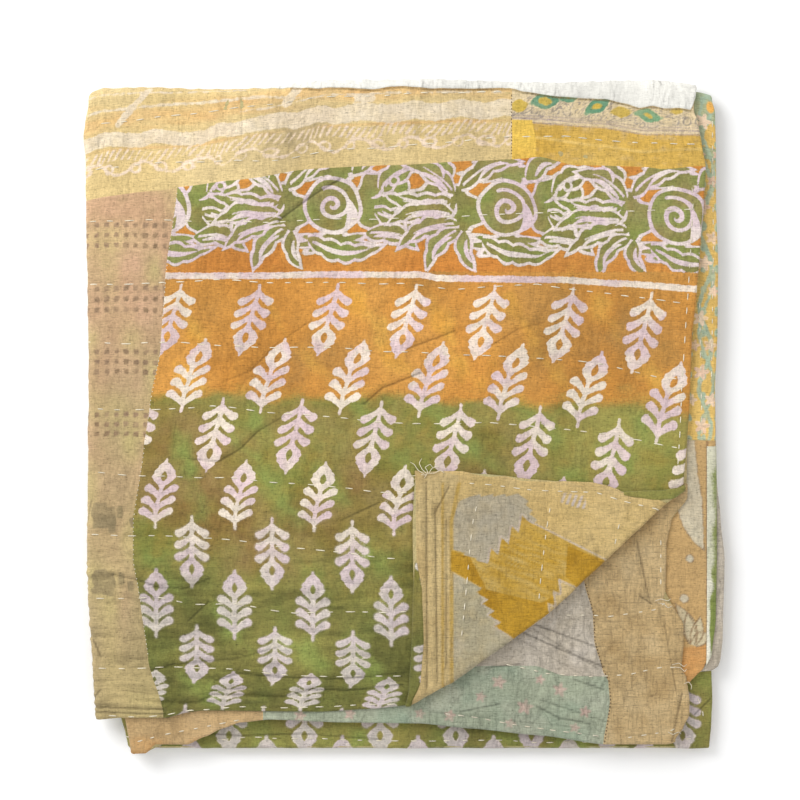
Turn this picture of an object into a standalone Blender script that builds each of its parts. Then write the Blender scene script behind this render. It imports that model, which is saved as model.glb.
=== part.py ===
"""A hand-stitched patchwork quilt, folded three times, with one corner turned back.

The quilt is one sheet. It is laid out flat, its hems are set, and then it is bent four
times: the turned corner, the first fold (bottom), the side fold (left) and the last
fold (top). Every bend is a smooth map of space, so the layers never meet.
"""

import math

import bmesh
import bpy

# Driving sizes, in metres.
SHEET_THICKNESS = 0.0023
LAYER_PITCH = 0.0030
LAYERS = 8
TOP_EDGE = 0.3350
BOTTOM_FOLD = -0.3320
LONGEST_HEM = -0.3380
CORNER_RADIUS = 0.0019
UNEVENNESS = 0.09

# Bend radii and arc lengths of the three folds.
FIRST_RADIUS = LAYER_PITCH / 2
SIDE_RADIUS = 1.5 * LAYER_PITCH
LAST_RADIUS = 3.5 * LAYER_PITCH
FIRST_ARC = math.pi * FIRST_RADIUS
SIDE_ARC = math.pi * SIDE_RADIUS
LAST_ARC = math.pi * LAST_RADIUS
HALF = SHEET_THICKNESS / 2

# Lengths along the quilt, from the hem of the top layer.
LAST_AXIS_Y = TOP_EDGE - LAST_RADIUS - HALF
UPPER_LENGTH = LAST_AXIS_Y - LONGEST_HEM
UNDER_LENGTH = LAST_AXIS_Y - BOTTOM_FOLD - FIRST_RADIUS - HALF
FIRST_START = UPPER_LENGTH + LAST_ARC + UNDER_LENGTH
FULL_LENGTH = 2 * FIRST_START + FIRST_ARC

# Cells of the mesh along each part of the sheet.
CELLS_RIGHT = 16
CELLS_LEFT = 8
CELLS_TOP_LAYER = 16
CELLS_UNDER = 8
CELLS_SECOND_LAYER = 14
CELLS_FIRST_ARC = 4
CELLS_SIDE_ARC = 6
CELLS_LAST_ARC = 6
CELLS_CORNER_ARC = 4

# The turned corner is bent along a line between these two places on the top layer.
TURN_RIGHT = (0.281, -0.075)
TURN_LEFT = (0.006, -0.287)

# Right edge of each layer: (height y, right edge x).
RIGHT_TOP_LAYER = (
    (-0.342, 0.2340),
    (-0.328, 0.2380),
    (-0.288, 0.2465),
    (-0.259, 0.2525),
    (-0.169, 0.2655),
    (-0.139, 0.2675),
    (-0.095, 0.2685),
    (-0.075, 0.2800),
    (0.018, 0.2860),
    (0.128, 0.2930),
    (0.218, 0.3000),
    (0.253, 0.3020),
    (0.275, 0.2980),
    (0.308, 0.2900),
    (0.324, 0.2895),
)
RIGHT_SECOND_LAYER = (
    (-0.327, 0.2700),
    (-0.297, 0.2860),
    (-0.249, 0.2800),
    (-0.230, 0.2780),
    (-0.184, 0.2620),
    (-0.127, 0.2650),
    (-0.080, 0.2840),
    (0.120, 0.2880),
    (0.324, 0.2920),
)
RIGHT_THIRD_LAYER = (
    (-0.267, 0.2900),
    (-0.240, 0.3080),
    (-0.150, 0.3120),
    (-0.022, 0.3130),
    (0.120, 0.3135),
    (0.290, 0.3130),
    (0.324, 0.3090),
)
RIGHT_FOURTH_LAYER = (
    (-0.254, 0.3190),
    (-0.100, 0.3215),
    (-0.060, 0.3140),
    (0.150, 0.3100),
    (0.324, 0.3060),
)
RIGHT_FIFTH_LAYER = (
    (-0.330, 0.3080),
    (-0.250, 0.3090),
    (0.000, 0.3040),
    (0.324, 0.3060),
)
RIGHT_EIGHTH_LAYER = (
    (-0.330, 0.3010),
    (0.000, 0.2960),
    (0.324, 0.2895),
)
RIGHT_SEVENTH_LAYER = (
    (-0.330, 0.3010),
    (0.000, 0.2980),
    (0.324, 0.2920),
)
RIGHT_SIXTH_LAYER = (
    (-0.330, 0.3080),
    (0.000, 0.3050),
    (0.324, 0.3090),
)

# Left edge of the outer and the inner side fold, above and under: (height y, left edge x).
LEFT_OUTER_ABOVE = (
    (-0.302, -0.3090),
    (-0.150, -0.3170),
    (0.050, -0.3150),
    (0.250, -0.3180),
    (0.290, -0.3200),
    (0.324, -0.3160),
)
LEFT_INNER_ABOVE = (
    (-0.337, -0.2760),
    (-0.290, -0.2840),
    (-0.150, -0.3020),
    (0.100, -0.3080),
    (0.324, -0.3100),
)
LEFT_OUTER_UNDER = (
    (-0.330, -0.2780),
    (-0.250, -0.3000),
    (0.000, -0.3130),
    (0.324, -0.3160),
)
LEFT_INNER_UNDER = (
    (-0.330, -0.2780),
    (-0.250, -0.2940),
    (0.000, -0.3050),
    (0.324, -0.3100),
)

# Hem of each open layer: (share of the way to the right edge, height y).
HEM_TOP_LAYER = (
    (0.000, -0.3020),
    (0.140, -0.3000),
    (0.200, -0.2925),
    (0.420, -0.2940),
    (0.584, -0.2870),
    (1.000, -0.3420),
)
HEM_SECOND_LAYER = (
    (0.000, -0.3370),
    (0.060, -0.3330),
    (0.110, -0.3260),
    (0.160, -0.3150),
    (0.220, -0.3030),
    (0.500, -0.3060),
    (0.620, -0.3240),
    (0.950, -0.3270),
    (1.000, -0.3180),
)
HEM_THIRD_LAYER = (
    (0.000, -0.3370),
    (0.060, -0.3350),
    (0.130, -0.3080),
    (0.220, -0.2920),
    (0.600, -0.2780),
    (0.960, -0.2660),
    (1.000, -0.2560),
)
HEM_FOURTH_LAYER = (
    (0.000, -0.3020),
    (0.500, -0.2750),
    (0.960, -0.2560),
    (1.000, -0.2480),
)

# Rise of the top edge over its mean height: (place x, rise).
TOP_WAVE = (
    (-0.322, -0.0090),
    (-0.300, -0.0040),
    (-0.264, -0.0030),
    (-0.200, -0.0050),
    (-0.140, -0.0040),
    (-0.080, 0.0030),
    (0.020, 0.0040),
    (0.150, 0.0010),
    (0.250, 0.0030),
    (0.290, -0.0010),
    (0.322, -0.0090),
)

# Soft swells of the upper layers: (strength, turns across, turns along, start), in radians.
SWELLS = (
    (0.45, 17.0, 6.0, 0.6),
    (0.35, 9.0, -21.0, 2.1),
    (0.30, 24.0, 13.0, 4.0),
)
SWELL_RAISE = 0.6


def between(rows, at):
    """Reads a two-column table, easing from one row to the next."""
    if at <= rows[0][0]:
        return rows[0][1]
    for (low, first), (high, second) in zip(rows, rows[1:]):
        if at <= high:
            share = (at - low) / (high - low)
            eased = share * share * (3 - 2 * share)
            return first + (second - first) * (0.5 * share + 0.5 * eased)
    return rows[-1][1]


def height_at(length):
    """Height y of the place at this length along the quilt, and whether it lies under."""
    if length > FIRST_START + FIRST_ARC / 2:
        length = FULL_LENGTH - length
    length = min(length, FIRST_START)
    if length <= UPPER_LENGTH:
        return LAST_AXIS_Y - UPPER_LENGTH + length, False
    past = length - UPPER_LENGTH - LAST_ARC
    if past < 0:
        return LAST_AXIS_Y, past > -LAST_ARC / 2
    return LAST_AXIS_Y - past, True


def right_edge(length, right_half):
    """The right edge x of the layer at this length, for either half of the width."""
    height, under = height_at(length)
    face_side = length < FIRST_START + FIRST_ARC / 2
    if right_half:
        above = RIGHT_TOP_LAYER if face_side else RIGHT_SECOND_LAYER
        below = RIGHT_EIGHTH_LAYER if face_side else RIGHT_SEVENTH_LAYER
    else:
        above = RIGHT_FOURTH_LAYER if face_side else RIGHT_THIRD_LAYER
        below = RIGHT_FIFTH_LAYER if face_side else RIGHT_SIXTH_LAYER
    return between(below if under else above, height)


def fold_start(length):
    """Where the side fold's arc starts at this length along the quilt."""
    height, under = height_at(length)
    face_side = length < FIRST_START + FIRST_ARC / 2
    if face_side:
        rows = LEFT_OUTER_UNDER if under else LEFT_OUTER_ABOVE
    else:
        rows = LEFT_INNER_UNDER if under else LEFT_INNER_ABOVE
    return between(rows, height) + SIDE_RADIUS + HALF


def turned(x, y, up):
    """Bends the corner of the top layer back over its face."""
    along_x = TURN_LEFT[0] - TURN_RIGHT[0]
    along_y = TURN_LEFT[1] - TURN_RIGHT[1]
    size = math.hypot(along_x, along_y)
    out_x = along_y / -size
    out_y = along_x / size
    reach = (x - TURN_RIGHT[0]) * out_x + (y - TURN_RIGHT[1]) * out_y
    start = -math.pi * CORNER_RADIUS / 2
    if reach <= start:
        return x, y, up
    angle = min((reach - start) / CORNER_RADIUS, math.pi)
    past = max(reach - start - math.pi * CORNER_RADIUS, 0.0)
    radius = CORNER_RADIUS - up
    placed = start + radius * math.sin(angle) - past
    x += (placed - reach) * out_x
    y += (placed - reach) * out_y
    return x, y, CORNER_RADIUS - radius * math.cos(angle)


def uneven(x, y, z):
    """Waves the top edge, and raises and lowers the upper layers; the underside stays flat."""
    full = LAYERS * LAYER_PITCH
    wave = SWELL_RAISE
    for strength, across, along, start in SWELLS:
        wave += strength * math.sin(across * x + along * y + start)
    share = z / full
    upper = max(y, 0.0) / TOP_EDGE
    y += between(TOP_WAVE, x) * upper * upper
    return x, y, z * (1 + UNEVENNESS * wave * share * share)


def folded(x, length, out):
    """The place in the folded quilt of a point on the laid-out sheet.

    x is the place across, length the place along, and out the distance from the middle
    of the sheet towards its face.
    """
    across = x - fold_start(length)
    if across >= 0 and length < UPPER_LENGTH:
        y = LAST_AXIS_Y - UPPER_LENGTH + length
        x, y, up = turned(x, y, out)
        z = (LAYERS - 1) * LAYER_PITCH + HALF + up
        return uneven(x, y, z)
    radius = FIRST_RADIUS + out
    if length <= FIRST_START:
        z = radius
    elif length < FIRST_START + FIRST_ARC:
        angle = (length - FIRST_START) / FIRST_RADIUS
        z = radius * math.cos(angle)
        length = FIRST_START + radius * math.sin(angle)
    else:
        z = -radius
        length = FULL_LENGTH - length
    radius = z + LAYER_PITCH
    start = x - across
    if across < -SIDE_ARC:
        x = start - across - SIDE_ARC
        z = -LAYER_PITCH - radius
    elif across < 0:
        angle = -across / SIDE_RADIUS
        x = start - radius * math.sin(angle)
        z = -LAYER_PITCH + radius * math.cos(angle)
    radius = z + 3 * LAYER_PITCH
    if length <= UPPER_LENGTH:
        y = LAST_AXIS_Y - UPPER_LENGTH + length
        z = radius
    elif length < UPPER_LENGTH + LAST_ARC:
        angle = (length - UPPER_LENGTH) / LAST_RADIUS
        y = LAST_AXIS_Y + radius * math.sin(angle)
        z = radius * math.cos(angle)
    else:
        y = LAST_AXIS_Y - (length - UPPER_LENGTH - LAST_ARC)
        z = -radius
    return uneven(x, y, z + 3.5 * LAYER_PITCH + HALF)


def hem_height(share, right_half, face_side):
    """Height y of the hem of an open layer."""
    if right_half:
        rows = HEM_TOP_LAYER if face_side else HEM_SECOND_LAYER
    else:
        rows = HEM_FOURTH_LAYER if face_side else HEM_THIRD_LAYER
    return between(rows, share)


def steps(count, low=0.0, high=1.0):
    """Equal steps from low up to, but not with, high."""
    return [low + (high - low) * i / count for i in range(count)]


def lines_across():
    """Lines across the width: (side, share), from the left half's edge to the right's."""
    left = [("left", 1 - share) for share in steps(CELLS_LEFT)]
    arc = [("arc", 1 - share) for share in steps(CELLS_SIDE_ARC)]
    right = [("right", share) for share in steps(CELLS_RIGHT)]
    return left + arc + right + [("right", 1.0)]


def lines_along():
    """Lines along the length: (part, share), from the hem of the top layer to the second's."""
    parts = (
        ("face hem", CELLS_TOP_LAYER),
        ("face last arc", CELLS_LAST_ARC),
        ("face under", CELLS_UNDER),
        ("first arc", CELLS_FIRST_ARC),
        ("back under", CELLS_UNDER),
        ("back last arc", CELLS_LAST_ARC),
        ("back hem", CELLS_SECOND_LAYER),
    )
    rows = [(part, share) for part, count in parts for share in steps(count)]
    return rows + [("back hem", 1.0)]


def place_along(part, share, side, reach):
    """Length along the quilt of a grid point."""
    starts = {
        "face last arc": (UPPER_LENGTH, LAST_ARC),
        "face under": (UPPER_LENGTH + LAST_ARC, UNDER_LENGTH),
        "first arc": (FIRST_START, FIRST_ARC),
        "back under": (FIRST_START + FIRST_ARC, UNDER_LENGTH),
        "back last arc": (FULL_LENGTH - UPPER_LENGTH - LAST_ARC, LAST_ARC),
    }
    if part in starts:
        start, span = starts[part]
        return start + span * share
    share_across = reach if side != "arc" else 0.0
    face_side = part == "face hem"
    hem = hem_height(share_across, side == "right", face_side)
    hem_length = hem - LAST_AXIS_Y + UPPER_LENGTH
    if face_side:
        return hem_length + (UPPER_LENGTH - hem_length) * share
    return FULL_LENGTH - UPPER_LENGTH + (UPPER_LENGTH - hem_length) * share


def place_across(side, reach, length):
    """Place x on the laid-out sheet of a grid point."""
    start = fold_start(length)
    if side == "arc":
        return start - SIDE_ARC * reach
    width = right_edge(length, side == "right") - start
    if side == "right":
        return start + width * reach
    return start - SIDE_ARC - width * reach


def laid_out_sheet():
    """The flat sheet as a grid, cut along the bend of the turned corner."""
    sheet = bmesh.new()
    grid = []
    for part, share in lines_along():
        row = []
        for side, reach in lines_across():
            length = place_along(part, share, side, reach)
            row.append(sheet.verts.new((place_across(side, reach, length), length, 0.0)))
        grid.append(row)
    for low, high in zip(grid, grid[1:]):
        for i in range(len(low) - 1):
            sheet.faces.new((low[i], low[i + 1], high[i + 1], high[i]))
    along_x = TURN_LEFT[0] - TURN_RIGHT[0]
    along_y = TURN_LEFT[1] - TURN_RIGHT[1]
    size = math.hypot(along_x, along_y)
    normal = (along_y / -size, along_x / size, 0.0)
    for i in range(CELLS_CORNER_ARC + 1):
        shift = math.pi * CORNER_RADIUS * (i / CELLS_CORNER_ARC - 0.5)
        point = (
            TURN_RIGHT[0] + normal[0] * shift,
            TURN_RIGHT[1] - LAST_AXIS_Y + UPPER_LENGTH + normal[1] * shift,
            0.0,
        )
        top = [f for f in sheet.faces if in_top_layer(f)]
        edges = {e for f in top for e in f.edges}
        verts = {v for f in top for v in f.verts}
        bmesh.ops.bisect_plane(
            sheet,
            geom=sorted(verts, key=order) + sorted(edges, key=edge_order) + top,
            dist=1e-7,
            plane_co=point,
            plane_no=normal,
        )
    return sheet


def in_top_layer(face):
    """Whether a face of the laid-out sheet belongs to the top layer's flat part."""
    center = face.calc_center_median()
    return center.y < UPPER_LENGTH and center.x > fold_start(center.y)


def order(vert):
    """A fixed order for vertices, so that the mesh is the same on every run."""
    return (round(vert.co.x, 9), round(vert.co.y, 9))


def edge_order(edge):
    """A fixed order for edges."""
    return order(edge.verts[0]) + order(edge.verts[1])


def quilt_mesh():
    """The folded sheet with its thickness, closed along the hems."""
    sheet = laid_out_sheet()
    bmesh.ops.triangulate(sheet, faces=sheet.faces[:], quad_method="BEAUTY")
    sheet.verts.index_update()
    solid = bmesh.new()
    face_skin = [solid.verts.new(folded(v.co.x, v.co.y, HALF)) for v in sheet.verts]
    back_skin = [solid.verts.new(folded(v.co.x, v.co.y, -HALF)) for v in sheet.verts]
    for face in sheet.faces:
        corners = [v.index for v in face.verts]
        solid.faces.new([face_skin[i] for i in corners])
        solid.faces.new([back_skin[i] for i in reversed(corners)])
    for face in sheet.faces:
        for loop in face.loops:
            if loop.edge.is_boundary:
                first = loop.vert.index
                second = loop.link_loop_next.vert.index
                solid.faces.new(
                    (face_skin[second], face_skin[first], back_skin[first], back_skin[second])
                )
    bmesh.ops.triangulate(solid, faces=[f for f in solid.faces if len(f.verts) > 3])
    mesh = bpy.data.meshes.new("quilt")
    solid.to_mesh(mesh)
    solid.free()
    sheet.free()
    return mesh


def cotton():
    """The quilt's own cloth material."""
    material = bpy.data.materials.new("quilt_cotton")
    material.use_nodes = True
    shader = material.node_tree.nodes["Principled BSDF"]
    shader.inputs["Base Color"].default_value = (0.62, 0.42, 0.16, 1.0)
    shader.inputs["Roughness"].default_value = 0.9
    return material


def main():
    for item in list(bpy.data.objects):
        bpy.data.objects.remove(item)
    quilt = bpy.data.objects.new("quilt", quilt_mesh())
    quilt.data.materials.append(cotton())
    bpy.context.scene.collection.objects.link(quilt)


main()
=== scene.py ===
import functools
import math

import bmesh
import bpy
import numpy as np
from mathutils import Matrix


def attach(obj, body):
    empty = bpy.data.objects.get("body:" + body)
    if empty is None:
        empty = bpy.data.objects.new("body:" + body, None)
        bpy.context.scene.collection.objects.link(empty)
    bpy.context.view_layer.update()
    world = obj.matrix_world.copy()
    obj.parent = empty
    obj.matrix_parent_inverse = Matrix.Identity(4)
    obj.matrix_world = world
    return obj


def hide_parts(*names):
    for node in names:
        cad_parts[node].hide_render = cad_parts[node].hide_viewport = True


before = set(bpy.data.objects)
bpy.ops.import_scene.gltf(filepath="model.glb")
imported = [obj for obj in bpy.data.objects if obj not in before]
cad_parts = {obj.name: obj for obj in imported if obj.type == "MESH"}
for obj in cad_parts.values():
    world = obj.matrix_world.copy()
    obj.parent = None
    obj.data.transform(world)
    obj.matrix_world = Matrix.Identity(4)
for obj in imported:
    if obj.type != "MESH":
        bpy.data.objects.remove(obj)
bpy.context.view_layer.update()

# A hand-stitched patchwork quilt, folded three times, with one corner turned back.
#
# Every piece of cloth is a fine grid that is laid out flat and then bent the way the solid
# is bent. Places on the cloth are in millimetres to the right of and below the upper left
# corner of the view, and one millimetre is one pixel of an 800 x 800 picture.

# The solid's driving sizes, in metres.
SHEET_THICKNESS = 0.0023
LAYER_PITCH = 0.0030
LAYERS = 8
TOP_EDGE = 0.3350
BOTTOM_FOLD = -0.3320
LONGEST_HEM = -0.3380
CORNER_RADIUS = 0.0019
UNEVENNESS = 0.09
FIRST_RADIUS = LAYER_PITCH / 2
SIDE_RADIUS = 1.5 * LAYER_PITCH
LAST_RADIUS = 3.5 * LAYER_PITCH
FIRST_ARC = math.pi * FIRST_RADIUS
SIDE_ARC = math.pi * SIDE_RADIUS
LAST_ARC = math.pi * LAST_RADIUS
HALF = SHEET_THICKNESS / 2
LAST_AXIS_Y = TOP_EDGE - LAST_RADIUS - HALF
UPPER_LENGTH = LAST_AXIS_Y - LONGEST_HEM
UNDER_LENGTH = LAST_AXIS_Y - BOTTOM_FOLD - FIRST_RADIUS - HALF
FIRST_START = UPPER_LENGTH + LAST_ARC + UNDER_LENGTH
FULL_LENGTH = 2 * FIRST_START + FIRST_ARC

# The ends of the turned corner's bend, and the ways along it and out towards the corner.
TURN_RIGHT = (0.281, -0.075)
TURN_LEFT = (0.006, -0.287)
TURN_RUN = (TURN_LEFT[0] - TURN_RIGHT[0], TURN_LEFT[1] - TURN_RIGHT[1])
TURN_SIZE = math.hypot(*TURN_RUN)
TURN_ALONG = (TURN_RUN[0] / TURN_SIZE, TURN_RUN[1] / TURN_SIZE)
TURN_OUT = (TURN_RUN[1] / -TURN_SIZE, TURN_RUN[0] / TURN_SIZE)

# Bulge of the turned corner's bend: (share of the way along it, millimetres outwards).
BOW = (
    (-0.20, 0.0), (-0.05, -2.5), (0.07, -3.5), (0.18, 0.5), (0.30, 4.4), (0.52, 11.5),
    (0.84, 8.0), (1.00, 0.5), (1.10, 0.0),
)
BOW_FADE = 0.045

# Broad swells of the whole stack: (strength, radians to the metre across and along, start).
SWELLS = ((0.45, 17.0, 6.0, 0.6), (0.35, 9.0, -21.0, 2.1), (0.30, 24.0, 13.0, 4.0))
SWELL_RAISE = 0.6

# The view: millimetres across it, the place of its corner, and the camera's height.
MM = 0.001
VIEW = 800.0
CORNER_X = -0.404
CORNER_Y = 0.418
CAMERA_HEIGHT = 2.6

# Steps in which a place that depends on itself is worked out.
SOLVE_STEPS = 4

# Half the thickness of the plain inner sheet, and the puff beside the turned corner's bend, in metres.
CORE_HALF = 0.00090
FOLD_PUFF = 0.0016
PUFF_REACH = 0.016
PUFF_LEAST = 0.3

# Painted shade: dark lines painted in creases, in millimetres: the widest crease that has one, the line's
# half width, the margin of its box, and its darkness for each millimetre of depth.
CREASE_SHADE_LIMIT = 3.0
CREASE_SHADE_WIDTH = 1.3
CREASE_SHADE_MARGIN = 6
CREASE_SHADE_GAIN = 1.3

# Fine wrinkles: where they and the painted shade in their hollows begin to grow down the view, over how
# far, and their least share above that. Then how high they stand, and the height, range and most of the
# painted shade.
WRINKLE_TOP = 470
DARK_TOP = 460
WRINKLE_FADE = 110
WRINKLE_LEAST = 0.25
DARK_LEAST = 0.15
WRINKLE_HEIGHT = 0.95
DARK_BELOW = -0.32
DARK_RANGE = 0.8
DARKEST = 0.55

# Left edge of the outer and the inner side fold, above and under: (height y, left edge x).
LEFT_OUTER_ABOVE = (
    (-0.302, -0.3090), (-0.150, -0.3170), (0.050, -0.3150), (0.250, -0.3180), (0.290, -0.3200),
    (0.324, -0.3160),
)
LEFT_INNER_ABOVE = (
    (-0.337, -0.2760), (-0.290, -0.2840), (-0.150, -0.3020), (0.100, -0.3080), (0.324, -0.3100),
)
LEFT_OUTER_UNDER = (
    (-0.330, -0.2780), (-0.250, -0.3000), (0.000, -0.3130), (0.324, -0.3160),
)
LEFT_INNER_UNDER = (
    (-0.330, -0.2780), (-0.250, -0.2940), (0.000, -0.3050), (0.324, -0.3100),
)
TOP_WAVE = (
    (-0.322, -0.0090), (-0.300, -0.0040), (-0.264, -0.0030), (-0.200, -0.0050), (-0.140, -0.0040),
    (-0.080, 0.0030), (0.020, 0.0040), (0.150, 0.0010), (0.250, 0.0030), (0.290, -0.0010),
    (0.322, -0.0090),
)

# Right hem of each layer, in view millimetres: (down, right).
HEM_RIGHT_TOP = (
    (94, 693.5), (110, 694), (120, 698), (143, 702), (165, 706), (200, 704), (250, 700),
    (290, 697), (340, 692), (400, 690), (440, 688), (493, 685), (513, 672.5), (557, 671.5),
    (587, 669.5), (677, 656.5), (706, 650.5), (746, 642), (762, 638),
)
HEM_RIGHT_SECOND = (
    (94, 696), (298, 692), (498, 688), (520, 672), (545, 667), (590, 666), (600, 664),
    (606, 674), (625, 684), (645, 684), (660, 683), (667, 681), (678, 687), (700, 690),
    (715, 690), (728, 684), (740, 676), (756, 674),
)
HEM_RIGHT_THIRD = (
    (94, 713), (105, 716), (150, 717), (200, 717), (260, 719), (330, 718.5), (390, 716),
    (440, 716.5), (500, 717), (560, 717), (620, 716), (655, 712), (672, 704), (684, 690),
)
HEM_RIGHT_FOURTH = (
    (94, 710), (268, 714), (478, 718), (520, 722), (560, 726), (640, 724), (660, 722), (672, 718),
)
HEM_RIGHT_FIFTH = (
    (94, 710), (418, 708), (668, 713), (700, 714), (725, 713), (748, 711),
)

# Bottom hem of each open layer, in view millimetres: (right, down).
HEM_LOW_TOP = (
    (88, 720), (97, 720), (120, 718), (165, 718), (190, 712), (203, 710.5), (320, 712),
    (370, 709), (410, 705), (640, 760),
)
HEM_LOW_SECOND = (
    (120, 755), (145, 754), (156, 745), (172, 745), (187, 745), (205, 737), (222, 729),
    (240, 723), (270, 720), (340, 723), (420, 724), (470, 729), (540, 736), (605, 745),
    (650, 745), (668, 745), (690, 738),
)
HEM_LOW_THIRD = (
    (120, 757), (140, 757), (153, 751), (190, 726), (400, 700), (640, 682), (690, 684),
    (702, 676), (718, 660),
)
HEM_LOW_FOURTH = (
    (88, 720), (400, 693), (690, 674), (712, 672), (728, 662),
)

# Rows of running stitches on the top layer, in view millimetres: (right, down) points.
STITCH_ROWS = (
    ((86, 121), (140, 117), (190, 110), (265, 101), (345, 100), (455, 96), (506, 94)),
    ((86, 167), (130, 163), (190, 159), (290, 158), (340, 152), (425, 147), (500, 139),
     (565, 137), (605, 143), (650, 145), (696, 143)),
    ((82, 219), (165, 219), (300, 221), (430, 219), (560, 213), (640, 212), (700, 208)),
    ((82, 283), (150, 283), (213, 279), (302, 283), (400, 284), (453, 290), (537, 285),
     (592, 293), (662, 300), (694, 304)),
    ((82, 341), (127, 343), (184, 342), (221, 346), (332, 348), (400, 352), (502, 357),
     (574, 361), (607, 366), (659, 377), (690, 379)),
    ((82, 408), (157, 410), (212, 406), (270, 412), (340, 418), (411, 424), (488, 423),
     (568, 430), (638, 440), (688, 450)),
    ((88, 471), (148, 476), (226, 478), (302, 484), (373, 491), (412, 493)),
    ((90, 534), (138, 535), (211, 538), (296, 548), (381, 557), (412, 559)),
    ((92, 598), (156, 597), (192, 604), (233, 604), (295, 613), (412, 611)),
    ((94, 668), (182, 667), (217, 668), (306, 676), (338, 677), (412, 674)),
    ((97, 715), (146, 716), (166, 715), (190, 710), (236, 707), (330, 707), (404, 702)),
)
STITCH_PITCH = 18.8
STITCH_LENGTH = 8.6

# Creases of the top layer: (right, down, right, down, half width, height), all millimetres.
CREASES = (
    (278, 220, 312, 197, 2.2, -1.0), (312, 197, 340, 181, 2.0, -0.9),
    (281, 214, 338, 176, 5.0, 0.7), (241, 93, 242, 131, 1.8, -0.5),
    (286, 108, 312, 168, 9.0, -0.9), (270, 104, 296, 166, 8.0, 0.6),
    (330, 100, 318, 160, 9.0, 0.5), (425, 115, 447, 102, 4.0, -0.5),
    (560, 104, 640, 128, 5.0, -0.6), (590, 132, 700, 150, 5.0, 0.6),
    (520, 148, 600, 160, 5.0, -0.4), (640, 158, 702, 150, 4.0, -0.6),
    (190, 459, 219, 461, 2.4, -0.7), (219, 461, 240, 449, 2.4, -0.9),
    (240, 449, 258, 431, 2.4, -0.8), (258, 431, 284, 416, 2.4, -0.6),
    (222, 455, 262, 422, 5.0, 0.7), (176, 420, 172, 460, 3.0, -0.5),
    (226, 380, 250, 371, 3.0, -0.5), (250, 371, 276, 344, 3.0, -0.6),
    (276, 344, 312, 320, 3.0, -0.5), (407, 349, 455, 331, 2.6, -0.7),
    (455, 331, 550, 316, 3.5, -0.6), (410, 342, 470, 322, 6.0, 0.6),
    (364, 404, 382, 388, 2.4, -0.8), (382, 388, 420, 373, 2.4, -0.8),
    (420, 373, 452, 368, 3.0, -0.4), (360, 398, 420, 367, 6.0, 0.6),
    (332, 458, 356, 412, 4.0, -0.6), (341, 520, 380, 502, 3.0, -0.7),
    (330, 500, 412, 470, 5.0, 0.6), (487, 348, 518, 329, 3.0, -0.6),
    (518, 329, 545, 322, 3.0, -0.5), (545, 416, 572, 401, 3.5, -0.6),
    (450, 446, 500, 436, 4.0, -0.5), (610, 440, 660, 470, 6.0, -0.5),
    (676, 300, 668, 420, 4.0, -0.5), (684, 250, 676, 380, 4.0, 0.5),
    (112, 574, 140, 580, 2.4, -0.7), (140, 580, 158, 587, 2.2, -0.9),
    (158, 587, 186, 588, 2.2, -0.9), (186, 588, 210, 578, 2.2, -0.8),
    (150, 580, 206, 572, 5.0, 0.7), (188, 621, 209, 601, 2.2, -0.8),
    (196, 624, 214, 604, 4.0, 0.6), (228, 560, 300, 566, 4.0, -0.5),
    (280, 600, 330, 592, 3.5, -0.6), (330, 592, 392, 600, 3.5, -0.5),
    (151, 670, 175, 664, 1.8, -1.1), (175, 664, 238, 658, 2.4, -0.7),
    (238, 658, 281, 646, 2.4, -0.6), (150, 664, 236, 652, 4.0, 0.7),
    (206, 645, 262, 637, 4.0, -0.5), (300, 640, 372, 633, 3.5, -0.6),
    (318, 655, 400, 650, 3.5, -0.6), (215, 680, 240, 673, 2.0, -1.0),
    (240, 673, 282, 677, 2.0, -1.0), (282, 677, 342, 679, 2.0, -0.9),
    (342, 679, 404, 672, 2.4, -0.8), (216, 673, 340, 671, 3.4, 0.8),
    (214, 690, 247, 688, 1.8, -1.2), (180, 703, 197, 702, 1.8, -1.2),
    (197, 702, 213, 694, 1.8, -1.5), (213, 694, 284, 696, 1.8, -1.7),
    (284, 696, 312, 689, 1.8, -1.4), (312, 689, 352, 690, 2.0, -1.0),
    (352, 690, 402, 684, 2.2, -1.0), (200, 698, 290, 700, 2.6, 1.1),
    (186, 697, 212, 688, 2.6, 1.0), (250, 690, 330, 684, 2.6, 1.0),
    (94, 640, 101, 657, 2.4, -0.9), (92, 702, 100, 690, 2.4, -0.9),
    (92, 707, 164, 709, 1.7, -1.0), (94, 712, 166, 714, 1.5, -0.9),
    (92, 703, 166, 705, 2.2, 0.8), (120, 690, 160, 694, 3.0, -0.5),
    (88, 520, 92, 500, 3.0, -0.6), (100, 470, 150, 455, 8.0, -0.5),
    (96, 240, 150, 250, 8.0, 0.5), (84, 150, 150, 190, 7.0, -0.4),
)


def between(rows, at):
    """Reads a two-column table at many places, easing from one row to the next."""
    keys = np.array([row[0] for row in rows], float)
    values = np.array([row[1] for row in rows], float)
    at = np.asarray(at, float)
    first = np.clip(np.searchsorted(keys, at) - 1, 0, len(keys) - 2)
    share = np.clip((at - keys[first]) / (keys[first + 1] - keys[first]), 0, 1)
    eased = share * share * (3 - 2 * share)
    return values[first] + (values[first + 1] - values[first]) * 0.5 * (share + eased)


def height_at(length):
    """Height y at each length along the quilt, and whether it lies under."""
    length = np.where(length > FIRST_START + FIRST_ARC / 2, FULL_LENGTH - length, length)
    length = np.minimum(length, FIRST_START)
    past = length - UPPER_LENGTH - LAST_ARC
    rising = LAST_AXIS_Y - UPPER_LENGTH + length
    height = np.where(length <= UPPER_LENGTH, rising, LAST_AXIS_Y - np.maximum(past, 0))
    return height, (length > UPPER_LENGTH) & (past > -LAST_ARC / 2)


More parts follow.
